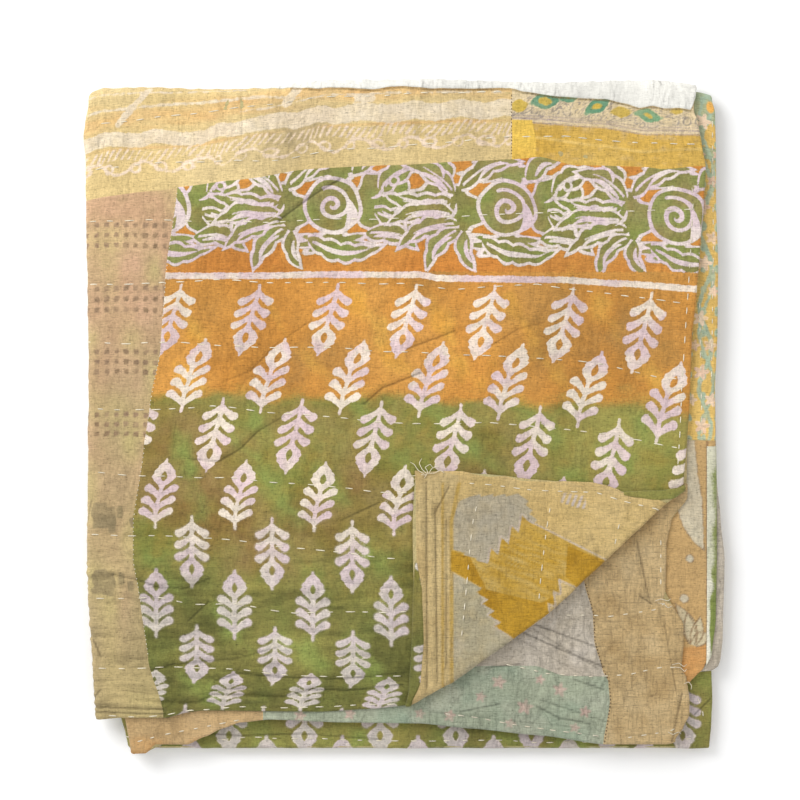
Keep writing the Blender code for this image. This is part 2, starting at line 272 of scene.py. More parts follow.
def fold_start(length):
    """Where the side fold's arc starts at each length along the quilt."""
    length = np.asarray(length, float)
    height, under = height_at(length)
    outer = np.where(under, between(LEFT_OUTER_UNDER, height), between(LEFT_OUTER_ABOVE, height))
    inner = np.where(under, between(LEFT_INNER_UNDER, height), between(LEFT_INNER_ABOVE, height))
    edge = np.where(length < FIRST_START + FIRST_ARC / 2, outer, inner)
    return edge + SIDE_RADIUS + HALF


def bow(x, y, reach):
    """How far the turned corner's bend bulges at a place, in metres."""
    along = (x - TURN_RIGHT[0]) * TURN_ALONG[0] + (y - TURN_RIGHT[1]) * TURN_ALONG[1]
    fade = np.exp(-((np.minimum(reach, 0) / BOW_FADE) ** 2))
    return between(BOW, along / TURN_SIZE) * MM * fade


def turned(x, y, up):
    """Bends the corner of the top layer back over its face."""
    reach = (x - TURN_RIGHT[0]) * TURN_OUT[0] + (y - TURN_RIGHT[1]) * TURN_OUT[1]
    start = -math.pi * CORNER_RADIUS / 2
    angle = np.clip((reach - start) / CORNER_RADIUS, 0, math.pi)
    past = np.maximum(reach - start - math.pi * CORNER_RADIUS, 0)
    radius = CORNER_RADIUS - up
    placed = start + radius * np.sin(angle) - past
    bent = reach > start
    lift = FOLD_PUFF * (1 - np.cos(angle)) / 2 * (PUFF_LEAST + np.exp(-((past / PUFF_REACH) ** 2)))
    seen = np.where(bent, placed, reach)
    shift = seen - reach + bow(x, y, seen)
    height = np.where(bent, CORNER_RADIUS - radius * np.cos(angle) + lift, up)
    return x + shift * TURN_OUT[0], y + shift * TURN_OUT[1], height


def uneven(x, y, z):
    """Waves the top edge, and raises and lowers the upper layers."""
    wave = SWELL_RAISE
    for strength, across, along, start in SWELLS:
        wave = wave + strength * np.sin(across * x + along * y + start)
    share = z / (LAYERS * LAYER_PITCH)
    upper = np.maximum(y, 0) / TOP_EDGE
    y = y + between(TOP_WAVE, x) * upper * upper
    return np.stack([x, y, z * (1 + UNEVENNESS * wave * share * share)], axis=1)


def folded(x, length, out):
    """The places in the folded quilt of points on the laid-out sheet, all in metres."""
    start = fold_start(length)
    across = x - start
    rising = LAST_AXIS_Y - UPPER_LENGTH + length
    top = np.stack(turned(x, rising, out), axis=1)
    top = uneven(top[:, 0], top[:, 1], top[:, 2] + (LAYERS - 1) * LAYER_PITCH + HALF)
    on_top = (across >= 0) & (length < UPPER_LENGTH)

    # The first fold, at the bottom.
    angle = np.clip((length - FIRST_START) / FIRST_RADIUS, 0, math.pi)
    radius = FIRST_RADIUS + out
    z = radius * np.cos(angle)
    beyond = np.maximum(length - FIRST_START - FIRST_ARC, 0)
    run = np.minimum(length, FIRST_START) + radius * np.sin(angle) - beyond

    # The side fold, at the left.
    angle = np.clip(-across / SIDE_RADIUS, 0, math.pi)
    radius = z + LAYER_PITCH
    z = radius * np.cos(angle) - LAYER_PITCH
    beyond = np.maximum(-across - SIDE_ARC, 0)
    x = start + np.maximum(across, 0) - radius * np.sin(angle) + beyond

    # The last fold, at the top.
    angle = np.clip((run - UPPER_LENGTH) / LAST_RADIUS, 0, math.pi)
    radius = z + 3 * LAYER_PITCH
    beyond = np.maximum(run - UPPER_LENGTH - LAST_ARC, 0)
    y = LAST_AXIS_Y + np.minimum(run - UPPER_LENGTH, 0) + radius * np.sin(angle) - beyond
    rest = uneven(x, y, radius * np.cos(angle) + 3.5 * LAYER_PITCH + HALF)
    return np.where(on_top[:, None], top, rest)


def scatter(across, along, seed):
    """A fixed random number from 0 to 1 for each pair of whole numbers."""
    mixed = across * 374761393 + along * 668265263 + seed * 144269504
    mixed = (mixed ^ (mixed >> 13)) * 1274126177
    return ((mixed ^ (mixed >> 16)) & 0xFFFF) / 65535.0


def soft_noise(across, along, seed):
    """Smooth noise from -1 to 1 with one bump to each unit."""
    low_x = np.floor(across).astype(np.int64)
    low_y = np.floor(along).astype(np.int64)
    share_x = across - low_x
    share_y = along - low_y
    share_x = share_x * share_x * (3 - 2 * share_x)
    share_y = share_y * share_y * (3 - 2 * share_y)
    low = scatter(low_x, low_y, seed) * (1 - share_x) + scatter(low_x + 1, low_y, seed) * share_x
    high = scatter(low_x, low_y + 1, seed) * (1 - share_x)
    high = high + scatter(low_x + 1, low_y + 1, seed) * share_x
    return 2 * (low * (1 - share_y) + high * share_y) - 1


def off_line(right, down, row):
    """Distance from a straight stretch, and the share of the way along it."""
    run_x = row[2] - row[0]
    run_y = row[3] - row[1]
    share = ((right - row[0]) * run_x + (down - row[1]) * run_y) / (run_x**2 + run_y**2)
    held = np.clip(share, 0, 1)
    away = np.hypot(right - row[0] - held * run_x, down - row[1] - held * run_y)
    return away, held


def near_row(right, down, row, margin):
    """Whether each place lies in the box around a straight stretch, widened by a margin."""
    beside = np.abs(right - (row[0] + row[2]) / 2) < abs(row[2] - row[0]) / 2 + margin
    return beside & (np.abs(down - (row[1] + row[3]) / 2) < abs(row[3] - row[1]) / 2 + margin)


def creased(right, down, rows):
    """Height in millimetres that a table of creases gives."""
    height = np.zeros_like(right)
    for row in rows:
        near = near_row(right, down, row, 4 * row[4])
        away, _ = off_line(right[near], down[near], row)
        height[near] += row[5] * np.exp(-((away / row[4]) ** 2))
    return height


def wrinkles(right, down):
    """The fine wavy wrinkles that run across the top layer, about -1.6 to 1.6."""
    bent = down + 2.5 * soft_noise(right / 40, down / 30, 9)
    return soft_noise(right / 34, bent / 5.2, 7) + 0.6 * soft_noise(right / 17, bent / 2.9, 8)


def painted_crease_shade(right, down, rows):
    """Painted shade in the sharp creases of a table, and in the top layer's wrinkle hollows, from 0 to 1.
    """
    deep = np.zeros_like(right)
    for row in rows:
        if row[5] > 0 or row[4] > CREASE_SHADE_LIMIT:
            continue
        near = near_row(right, down, row, CREASE_SHADE_MARGIN)
        away, _ = off_line(right[near], down[near], row)
        line = np.exp(-((away / CREASE_SHADE_WIDTH) ** 2)) * min(-CREASE_SHADE_GAIN * row[5], 1.0)
        deep[near] = np.maximum(deep[near], line)
    # On the top layer, painted shade also darkens the fine wrinkles' hollows, more of it down the view.
    if rows is CREASES:
        low = np.clip((down - DARK_TOP) / WRINKLE_FADE, DARK_LEAST, 1)
        dark = np.clip((DARK_BELOW - wrinkles(right, down)) / DARK_RANGE, 0, DARKEST)
        deep = np.maximum(deep, low * dark)
    return deep


def row_index(right, down):
    """Which row of stitching a place lies at, counted in rows with parts."""
    heights = np.stack([between(row, right) for row in STITCH_ROWS])
    index = np.zeros_like(right)
    for k in range(len(STITCH_ROWS) - 1):
        share = (down - heights[k]) / (heights[k + 1] - heights[k])
        index = np.where(share >= 0, k + np.clip(share, 0, 1), index)
    return index


def crumple(right, down, strength, seed):
    """The fine unevenness of washed cotton, in millimetres."""
    lean = right + 0.35 * down
    height = 0.50 * soft_noise(lean / 15, down / 24, seed)
    height += 0.30 * soft_noise(right / 8, down / 12, seed + 1)
    height += 0.20 * soft_noise(lean / 4.6, down / 6.5, seed + 2)
    return strength * height


def flap_reach(right, down):
    """How far over the turned corner's bend a place on the top layer lies, in millimetres."""
    x = CORNER_X + right * MM - TURN_RIGHT[0]
    y = CORNER_Y - down * MM - TURN_RIGHT[1]
    return (x * TURN_OUT[0] + y * TURN_OUT[1]) / MM


# Relief of the top layer, in millimetres: the step between the rows of stitches, the puff between
# them, depth and half width of the dip at a stitch, the pucker and how fast it fades, the crumpled
# cloth, the gain on its creases, the lowest that it may lie, and where it calms before the bend.
ROW_STEP = 60
ROW_PUFF = 0.42
STITCH_DIP = 0.30
DIP_HALF = 2.6
STITCH_PUCKER = 0.22
PUCKER_FADE = 9
TOP_CRUMPLE = 1.1
CREASE_GAIN = 1.35
DEEPEST = -0.75
CALM_FROM = 2
CALM_OVER = 12


def top_relief(right, down):
    """Height of the top layer's cloth over its even place, in millimetres."""
    index = row_index(right, down)
    off_row = np.abs(index - np.round(index))
    puff = ROW_PUFF * np.sqrt(np.clip(off_row * 2, 0, 1))
    beat = np.cos(2 * math.pi * right / STITCH_PITCH)
    wave = 0.5 + 0.5 * beat
    dip = -STITCH_DIP * wave * np.exp(-((off_row * ROW_STEP / DIP_HALF) ** 2))
    pucker = STITCH_PUCKER * beat * np.exp(-off_row * PUCKER_FADE)
    height = puff + dip - pucker + crumple(right, down, TOP_CRUMPLE, 3)
    height = height + CREASE_GAIN * creased(right, down, CREASES)
    low = np.clip((down - WRINKLE_TOP) / WRINKLE_FADE, WRINKLE_LEAST, 1)
    height = height + WRINKLE_HEIGHT * low * wrinkles(right, down)
    calm = np.clip((-flap_reach(right, down) - CALM_FROM) / CALM_OVER, 0, 1)
    return np.maximum(height, DEEPEST) * calm


# Hidden layers' right hems, how far the inner sheet stays inside every hem, and its cells.
HEM_RIGHT_SIXTH = ((94, 713), (418, 709), (748, 712))
HEM_RIGHT_SEVENTH = ((94, 696), (418, 702), (748, 705))
HEM_RIGHT_EIGHTH = ((94, 693.5), (418, 700), (748, 705))
HEM_INSET = 1.2
CORE_ACROSS = 38
CORE_LAYER_ROWS = 38
ARC_CELLS = 6
CORNER_CELLS = 5
# The inner sheet's cells along the quilt: (cells, (start, length)), without a span for the open ends.
CORE_SPANS = (
    (CORE_LAYER_ROWS, None),
    (ARC_CELLS + 2, (UPPER_LENGTH, LAST_ARC)),
    (CORE_LAYER_ROWS, (UPPER_LENGTH + LAST_ARC, UNDER_LENGTH)),
    (ARC_CELLS, (FIRST_START, FIRST_ARC)),
    (CORE_LAYER_ROWS, (FIRST_START + FIRST_ARC, UNDER_LENGTH)),
    (ARC_CELLS + 2, (FULL_LENGTH - UPPER_LENGTH - LAST_ARC, LAST_ARC)),
    (CORE_LAYER_ROWS, None),
)
CORE_ROWS = sum(count for count, _ in CORE_SPANS)

# Side hems: (right half, under, hem on the sheet's first half along, hem on its second half).
SIDE_HEMS = (
    (True, False, HEM_RIGHT_TOP, HEM_RIGHT_SECOND), (True, True, HEM_RIGHT_EIGHTH, HEM_RIGHT_SEVENTH),
    (False, False, HEM_RIGHT_FOURTH, HEM_RIGHT_THIRD), (False, True, HEM_RIGHT_FIFTH, HEM_RIGHT_SIXTH),
)
# Bottom hems of the open layers: (right half, on the sheet's first half along, hem).
LOW_HEMS = (
    (True, True, HEM_LOW_TOP), (True, False, HEM_LOW_SECOND),
    (False, True, HEM_LOW_FOURTH), (False, False, HEM_LOW_THIRD),
)


def side_hem(length, right_half):
    """The inner sheet's side edge x at each length, in either half of the width."""
    height, under = height_at(length)
    down = (CORNER_Y - height) / MM
    face = length < FIRST_START + FIRST_ARC / 2
    edge = np.zeros_like(down)
    for half, below, outer, inner in SIDE_HEMS:
        chosen = (right_half == half) & (under == below)
        edge = np.where(chosen, np.where(face, between(outer, down), between(inner, down)), edge)
    return CORNER_X + (edge - HEM_INSET) * MM


def core_grid(s, t):
    """Laid-out places of the inner sheet for shares s across and t along."""
    column = s * (2 * CORE_ACROSS + ARC_CELLS)
    right_half = column >= CORE_ACROSS + ARC_CELLS - 0.01
    arc = ~right_half & (column > CORE_ACROSS - 0.01)
    reach = np.where(
        right_half, (column - CORE_ACROSS - ARC_CELLS) / CORE_ACROSS, 1 - column / CORE_ACROSS
    )
    reach = np.where(arc, 1 - (column - CORE_ACROSS) / ARC_CELLS, reach)
    row = t * CORE_ROWS
    length = np.zeros_like(row)
    face_hem = row <= CORE_LAYER_ROWS
    back_hem = row > CORE_ROWS - CORE_LAYER_ROWS
    first = 0
    for count, span in CORE_SPANS:
        if span:
            inside = (row > first) & (row <= first + count)
            length = np.where(inside, span[0] + (row - first) / count * span[1], length)
        first += count
    share = np.where(face_hem, row / CORE_LAYER_ROWS, (first - row) / CORE_LAYER_ROWS)
    open_layer = face_hem | back_hem
    guess = UPPER_LENGTH * np.where(open_layer, share, 0)
    for _ in range(SOLVE_STEPS):
        guess_length = np.where(face_hem, guess, FULL_LENGTH - guess)
        length = np.where(open_layer, guess_length, length)
        start = fold_start(length)
        width = side_hem(length, right_half) - start
        over = start + np.where(arc, 0, width * reach)
        right = (over - CORNER_X) / MM
        down = np.zeros_like(right)
        for half, face, table in LOW_HEMS:
            chosen = ((right_half | arc) == half) & (face_hem == face)
            down = np.where(chosen, between(table, right), down)
        hem = CORNER_Y - (down - HEM_INSET) * MM - LAST_AXIS_Y + UPPER_LENGTH
        guess = hem + (UPPER_LENGTH - hem) * share
    x = np.where(arc, start - SIDE_ARC * reach, start - SIDE_ARC - width * reach)
    return np.where(right_half, start + width * reach, x), length


def cloth_object(name, mesh, printed):
    """Links a mesh as an object, with the places on its cloth, in metres, as its map."""
    corner = np.empty(len(mesh.loops), np.int32)
    mesh.loops.foreach_get("vertex_index", corner)
    layer = mesh.uv_layers.new(name="cloth")
    layer.data.foreach_set("uv", printed[corner].astype(np.float32).ravel())
    mesh.shade_smooth()
    piece = bpy.data.objects.new(name, mesh)
    bpy.context.scene.collection.objects.link(piece)
    return piece


def in_order(parts):
    """The different parts of a mesh, in the order of their numbers."""
    return sorted(set(parts), key=lambda part: part.index)


def inner_sheet(name):
    """The plain sheet between the two faces of the quilt, folded as the whole quilt is."""
    sheet = bmesh.new()
    columns = 2 * CORE_ACROSS + ARC_CELLS
    bmesh.ops.create_grid(sheet, x_segments=columns, y_segments=CORE_ROWS, size=0.5)
    flat = np.array([vert.co[:2] for vert in sheet.verts]) + 0.5
    x, length = core_grid(flat[:, 0], flat[:, 1])
    for vert, across, along in zip(sheet.verts, x, length):
        vert.co = (across, along, 0.0)
    for i in range(CORNER_CELLS + 1):
        shift = math.pi * CORNER_RADIUS * (i / CORNER_CELLS - 0.5)
        cut_x = TURN_RIGHT[0] + TURN_OUT[0] * shift
        cut_y = TURN_RIGHT[1] - LAST_AXIS_Y + UPPER_LENGTH + TURN_OUT[1] * shift
        centers = np.array([face.calc_center_median()[:2] for face in sheet.faces])
        on_top = (centers[:, 1] < UPPER_LENGTH) & (centers[:, 0] > fold_start(centers[:, 1]))
        faces = [face for face, chosen in zip(sheet.faces, on_top) if chosen]
        edges = in_order(edge for face in faces for edge in face.edges)
        verts = in_order(vert for face in faces for vert in face.verts)
        bmesh.ops.bisect_plane(
            sheet, geom=verts + edges + faces, dist=1e-7, plane_co=(cut_x, cut_y, 0.0),
            plane_no=(*TURN_OUT, 0.0),
        )
        for parts in (sheet.verts, sheet.edges, sheet.faces):
            parts.index_update()
    places = np.array([vert.co[:2] for vert in sheet.verts])
    points = folded(places[:, 0], places[:, 1], np.zeros(len(places)))
    area = sum(face.calc_area() for face in sheet.faces)
    for vert, point in zip(sheet.verts, points):
        vert.co = point
    mesh = bpy.data.meshes.new(name)
    sheet.to_mesh(mesh)
    sheet.free()
    piece = cloth_object(name, mesh, places)
    thick = piece.modifiers.new("thickness", "SOLIDIFY")
    thick.thickness = 2 * CORE_HALF
    thick.offset = 0.0
    spans = places.max(axis=0) - places.min(axis=0)
    return piece, (float(spans[0]), float(spans[1])), area


def linear(shade):
    """A colour for a shader from its red, green and blue out of 255."""
    values = []
    for value in shade:
        part = value / 255
        values.append(part / 12.92 if part <= 0.04045 else ((part + 0.055) / 1.055) ** 2.4)
    return (*values, 1.0)


def plug(tree, socket, value):
    """Links another node's socket, or sets the value, on one socket."""
    if isinstance(value, bpy.types.NodeSocket):
        tree.links.new(value, socket)
    else:
        socket.default_value = value


def node(tree, kind, inputs=None, **settings):
    """Adds a shader node, with its settings and what its sockets are given."""
    made = tree.nodes.new("ShaderNode" + kind)
    for key, value in settings.items():
        setattr(made, key, value)
    for key, value in (inputs or {}).items():
        plug(tree, made.inputs[key], value)
    return made


def reckon(tree, operation, *values):
    """The result of a mathematical operation on one to three values."""
    made = node(tree, "Math", dict(enumerate(values)), operation=operation)
    return made.outputs[0]


def reckoners(tree):
    """Functions that add, take away and multiply values of a tree."""
    return [functools.partial(reckon, tree, way) for way in ("ADD", "SUBTRACT", "MULTIPLY")]


def ramped(tree, value, low, high, low_out=0.0, high_out=1.0):
    """A value eased from one range to another."""
    made = node(tree, "MapRange", {
        "Value": value, "From Min": low, "From Max": high, "To Min": low_out, "To Max": high_out,
    }, interpolation_type="SMOOTHSTEP")
    return made.outputs[0]


def blend(tree, share, first, second, way="MIX"):
    """One colour laid over another."""
    made = node(tree, "Mix", {0: share, 6: first, 7: second}, data_type="RGBA", blend_type=way)
    return made.outputs[2]


def noise(tree, place, scale, detail, stretch=(1.0, 1.0, 1.0)):
    """Soft noise from 0 to 1 with so many bumps to the metre."""
    mapped = node(tree, "Mapping", {"Vector": place, "Scale": stretch})
    made = node(tree, "TexNoise", {
        "Vector": mapped.outputs[0], "Scale": scale, "Detail": detail, "Roughness": 0.5,
    })
    return made.outputs[0]


# Threads, slubs, flecks, streaks and pulled threads to the metre, how strongly they change the tone,
# and how much of its light the cloth gives back.
THREADS = 1450.0
SLUBS = 430.0
FLECKS = 620.0
STREAKS = 60.0
PULLED_THREADS = 300.0
EVEN_TONE = 0.39
SLUB_TONE = 0.62
STREAK_TONE = 0.24
FLECK_TONE = 0.36
GIVEN_BACK = 0.93
# Crinkles that run three ways: (turn in radians, crinkles to the metre, strength).
CRINKLE_SETS = ((0.5, 50.0, 0.9), (-0.75, 66.0, 0.8), (1.45, 84.0, 0.8))
# How gently two colours pass into each other in a cloth's blotches.
BLOTCH_EASE = 0.5 / 3
# Darkening by painted crease shade at its deepest, and the depths of the fine and the wide bumps, in
# metres.
CREASE_SHADE_DARKEST = 0.52
THREAD_DEPTH = 0.0005
CRINKLE_DEPTH = 0.0018


def open_group(name, outputs):
    """A new group of nodes that takes a place, with that place and the node for its results."""
    group = bpy.data.node_groups.new(name, "ShaderNodeTree")
    group.interface.new_socket("Place", in_out="INPUT", socket_type="NodeSocketVector")
    for output in outputs:
        group.interface.new_socket(output, in_out="OUTPUT", socket_type="NodeSocketFloat")
    place = group.nodes.new("NodeGroupInput").outputs["Place"]
    return group, place, group.nodes.new("NodeGroupOutput").inputs


def weave_group():
    """A group that gives plain woven cloth's tone and height at a place in metres."""
    group, place, results = open_group("plain_weave", ("Tone", "Height"))
    plus, minus, times = reckoners(group)
    parts = node(group, "SeparateXYZ", {0: place})
    turns = 2 * math.pi * THREADS
    across = reckon(group, "SINE", times(parts.outputs[0], turns))
    along = reckon(group, "SINE", times(parts.outputs[1], turns))
    warp = noise(group, place, SLUBS, 1.0, (1.9, 0.45, 1.0))
    weft = noise(group, place, SLUBS, 1.0, (0.38, 1.9, 1.0))
    slub = plus(times(warp, 0.7), weft)
    fleck = ramped(group, noise(group, place, FLECKS, 1.0, (0.5, 1.3, 1.0)), 0.58, 0.74)
    lines = noise(group, place, STREAKS, 2.0, (0.5, 5.0, 1.0))
    tone = plus(times(slub, SLUB_TONE), times(lines, STREAK_TONE))
    tone = minus(plus(tone, EVEN_TONE), times(fleck, FLECK_TONE))
    group.links.new(tone, results["Tone"])
    group.links.new(plus(times(times(across, along), 0.25), slub), results["Height"])
    return group


def crinkle_group():
    """A group that gives washed cloth's crinkles: their height, and the painted shade along their folds.
    """
    group, place, results = open_group("crinkles", ("Height", "Line"))
    plus, minus, times = reckoners(group)
    height = 0.0
    lines = 0.0
    for turn, scale, strength in CRINKLE_SETS:
        spot = node(group, "Mapping", {
            "Vector": place, "Rotation": (0.0, 0.0, turn), "Scale": (1.0, 0.48, 1.0),
        }).outputs[0]
        fold = reckon(group, "ABSOLUTE", minus(noise(group, spot, scale, 2.0), 0.5))
        there = ramped(group, noise(group, spot, scale * 0.35, 1.0), 0.42, 0.62)
        # Painted shade: a dark line along each fold.
        line = times(ramped(group, fold, 0.0, 0.045, 1.0, 0.0), there)
        ridge = times(ramped(group, fold, 0.0, 0.20, 0.0, 1.0), strength)
        height = plus(height, times(ridge, there))
        lines = reckon(group, "MAXIMUM", lines, line)
    fine = noise(group, place, 240.0, 2.0, (1.0, 0.7, 1.0))
    group.links.new(plus(height, times(fine, 0.5)), results["Height"])
    group.links.new(lines, results["Line"])
    return group


WEAVE = weave_group()
CRINKLES = crinkle_group()


def cloth(name, ground, second, layers=(), blotch=9.0, thread=0.45, crinkle=0.5, crinkle_shade=0.12,
          bright=1.0, lattice=0.07, grain=1.0):
    """Printed cotton. Two colours mix in soft blotches, and each layer is painted over them.

    A layer is (mark, colour, other colour, wear, softness) and mark names an attribute that
    is 0.5 along the layer's edge. blotch counts the blotches to the metre, and the strengths are
    of the threads' bump, the crinkles, the painted shade along their folds, the light, pulled threads and
    the grain. Painted shade in creases, read from a mark, darkens the colour too.
    """
    material = bpy.data.materials.new(name)
    material.use_nodes = True
    tree = material.node_tree
    tree.nodes.clear()
    plus, minus, times = reckoners(tree)
    place = node(tree, "UVMap", uv_map="cloth").outputs[0]
    weave = node(tree, "Group", node_tree=WEAVE)
    tree.links.new(place, weave.inputs["Place"])
    crinkles = node(tree, "Group", node_tree=CRINKLES)
    tree.links.new(place, crinkles.inputs["Place"])
    soft = noise(tree, place, blotch, 3.0)
    soft = ramped(tree, soft, 0.5 - BLOTCH_EASE, 0.5 + BLOTCH_EASE)
    colour = blend(tree, soft, linear(ground), linear(second))
    ragged = times(minus(noise(tree, place, 520.0, 1.0), 0.5), 0.35)
    worn = noise(tree, place, 60.0, 3.0)
    tint = ramped(tree, noise(tree, place, 22.0, 2.0), 0.38, 0.62)
    for mark, shade, other, wear, softness in layers:
        value = node(tree, "Attribute", attribute_name=mark).outputs["Fac"]
        mask = ramped(tree, plus(value, ragged), 0.5 - softness, 0.5 + softness)
        kept = ramped(tree, worn, 0.30, 0.62, 1.0 - wear, 1.0)
        both = blend(tree, tint, linear(shade), linear(other))
        colour = blend(tree, times(mask, kept), colour, both)
    wide = noise(tree, place, 5.0, 4.0)
    light = plus(times(minus(weave.outputs["Tone"], 1.0), grain), 1.0)
    light = times(light, ramped(tree, wide, 0.3, 0.7, 0.90, 1.10))
    # Painted shade along the crinkles' folds darkens the colour.
    light = times(light, ramped(tree, crinkles.outputs["Line"], 0.0, 1.0, 1.0, 1 - crinkle_shade))
    crosswise = noise(tree, place, PULLED_THREADS, 2.0, (0.16, 1.6, 1.0))
    lengthwise = noise(tree, place, PULLED_THREADS, 2.0, (1.6, 0.16, 1.0))
    pulled = reckon(tree, "MINIMUM", crosswise, lengthwise)
    light = times(light, ramped(tree, pulled, 0.30, 0.50, 1 - lattice, 1 + 0.3 * lattice))
    raised = plus(weave.outputs["Height"], times(pulled, 10 * lattice))
    # Painted shade in creases and in the wrinkles' hollows darkens the colour.
    dent = node(tree, "Attribute", attribute_name="dent").outputs["Fac"]
    light = times(light, ramped(tree, dent, 0.15, 1.0, 1.0, CREASE_SHADE_DARKEST))
    light = times(light, GIVEN_BACK * bright)
    light_colour = node(tree, "CombineXYZ", {0: light, 1: light, 2: light}).outputs[0]
    colour = blend(tree, 1.0, colour, light_colour, "MULTIPLY")
    fine_bump = node(tree, "Bump", {
        "Strength": thread, "Distance": THREAD_DEPTH, "Height": raised,
    })
    wide_bump = node(tree, "Bump", {
        "Strength": crinkle, "Distance": CRINKLE_DEPTH, "Height": crinkles.outputs["Height"],
        "Normal": fine_bump.outputs[0],
    })
    shader = node(tree, "BsdfPrincipled", {
        "Base Color": colour, "Roughness": 0.88, "Sheen Weight": 0.12, "Sheen Roughness": 0.5,
        "Specular IOR Level": 0.2, "Normal": wide_bump.outputs[0],
    })
    leave = node(tree, "OutputMaterial")
    tree.links.new(shader.outputs[0], leave.inputs[0])
    return material


def dress(piece, material):
    """Gives a finished piece its cloth and its place on the model."""
    piece.data.materials.append(material)
    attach(piece, "root")
    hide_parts("quilt")


def settle(piece, material):
    """Puts a finished sheet of cloth on the model."""
    dress(piece, material)


# The side of the quilt that shows on each layer: 1 for its face, -1 for its back.
SIDES = {"top": 1, "second": -1, "third": 1, "fourth": -1, "fifth": 1, "eighth": 1, "flap": -1}
# Edges of the patches, in millimetres: places of the first rings, depth of a tucked edge, and roll of
# a hem. The last is the least share of its own box that a slanted patch fills.
RING_STEPS = (0.0, 0.5, 1.3)
TUCK = 0.8
HEM_ROLL = 0.2
SLANTED = 0.5


def mirrored(right, down):
    """The laid-out place, in view millimetres, of a place seen on the turned corner."""
    x = CORNER_X + right * MM
    y = CORNER_Y - down * MM
    seen = flap_reach(right, down)
    reach = seen
    for _ in range(SOLVE_STEPS):
        reach = seen - bow(x, y, reach * MM) / MM
    return right - (seen + reach) * TURN_OUT[0], down + (seen + reach) * TURN_OUT[1]


def sheet_place(layer, right, down):
    """The laid-out place, in metres, of a place in the view on one of the layers."""
    if layer == "flap":
        right, down = mirrored(right, down)
    x = CORNER_X + right * MM
    y = CORNER_Y - down * MM
    length = y - LAST_AXIS_Y + UPPER_LENGTH
    if layer in ("fifth", "eighth"):
        length = UPPER_LENGTH + LAST_ARC + LAST_AXIS_Y - y
    if layer in ("second", "third"):
        length = FULL_LENGTH - length
    if layer in ("third", "fourth", "fifth"):
        x = 2 * fold_start(length) - SIDE_ARC - x
    return x, length


def ring_share(share, count, span):
    """Moves the first rings of a grid close to its edges, so that the edges can turn down."""
    step = np.round(share * count)
    step = np.minimum(step, count - step)
    inner = RING_STEPS[2] + (step - 2) / (count - 4) * (span - 2 * RING_STEPS[2])
    place = np.select([step == 0, step == 1], [RING_STEPS[0], RING_STEPS[1]], inner) / span
    return np.where(share > 0.5, 1 - place, place)


def nearest(distances, reach=9.0):
    """The least of many distances, and the reach where all of them are longer."""
    return functools.reduce(np.minimum, distances, reach)


def from_edges(across, along, width, height, letters):
    """Distance in millimetres from the named edges: l, r, t and b."""
    edges = {
        "l": across * width, "r": (1 - across) * width,
        "b": along * height, "t": (1 - along) * height,
    }
    return nearest([edges[letter] for letter in letters], 1e3)


def grid_piece(name, columns, rows, place, keep, faces_down):
    """A fine grid of cloth whose corners run from (0, 0) to (1, 1), set by a function.

    The function gives the laid-out places, the points, the printed places and the marks.
    """
    grid = bmesh.new()
    bmesh.ops.create_grid(grid, x_segments=columns, y_segments=rows, size=0.5)
    if faces_down:
        bmesh.ops.reverse_faces(grid, faces=grid.faces[:])
    flat = np.array([vert.co[:2] for vert in grid.verts]) + 0.5
    printed, laid, points, marks = place(flat[:, 0], flat[:, 1])
    if keep is not None:
        kept = keep(printed[:, 0], printed[:, 1])
        gone = [vert for vert, chosen in zip(grid.verts, kept) if not chosen]
        bmesh.ops.delete(grid, geom=gone, context="VERTS")
        printed, laid, points = printed[kept], laid[kept], points[kept]
        marks = {key: values[kept] for key, values in marks.items()}
    mesh = bpy.data.meshes.new(name)
    grid.to_mesh(mesh)
    grid.free()
    mesh.vertices.foreach_set("co", np.pad(laid, ((0, 0), (0, 1))).astype(np.float32).ravel())
    mesh.update()
    sizes = np.empty(len(mesh.polygons), np.float32)
    mesh.polygons.foreach_get("area", sizes)
    mesh.vertices.foreach_set("co", points.astype(np.float32).ravel())
    piece = cloth_object(name, mesh, printed * MM)
    for key, values in marks.items():
        mark = mesh.attributes.new(key, "FLOAT", "POINT")
        mark.data.foreach_set("value", values.astype(np.float32))
    mesh.update()
    area = float(sizes.sum())
    spans = laid.max(axis=0) - laid.min(axis=0)
    width = min(float(spans[0]), area / (SLANTED * float(spans[1])))
    return piece, (width, float(spans[1])), area


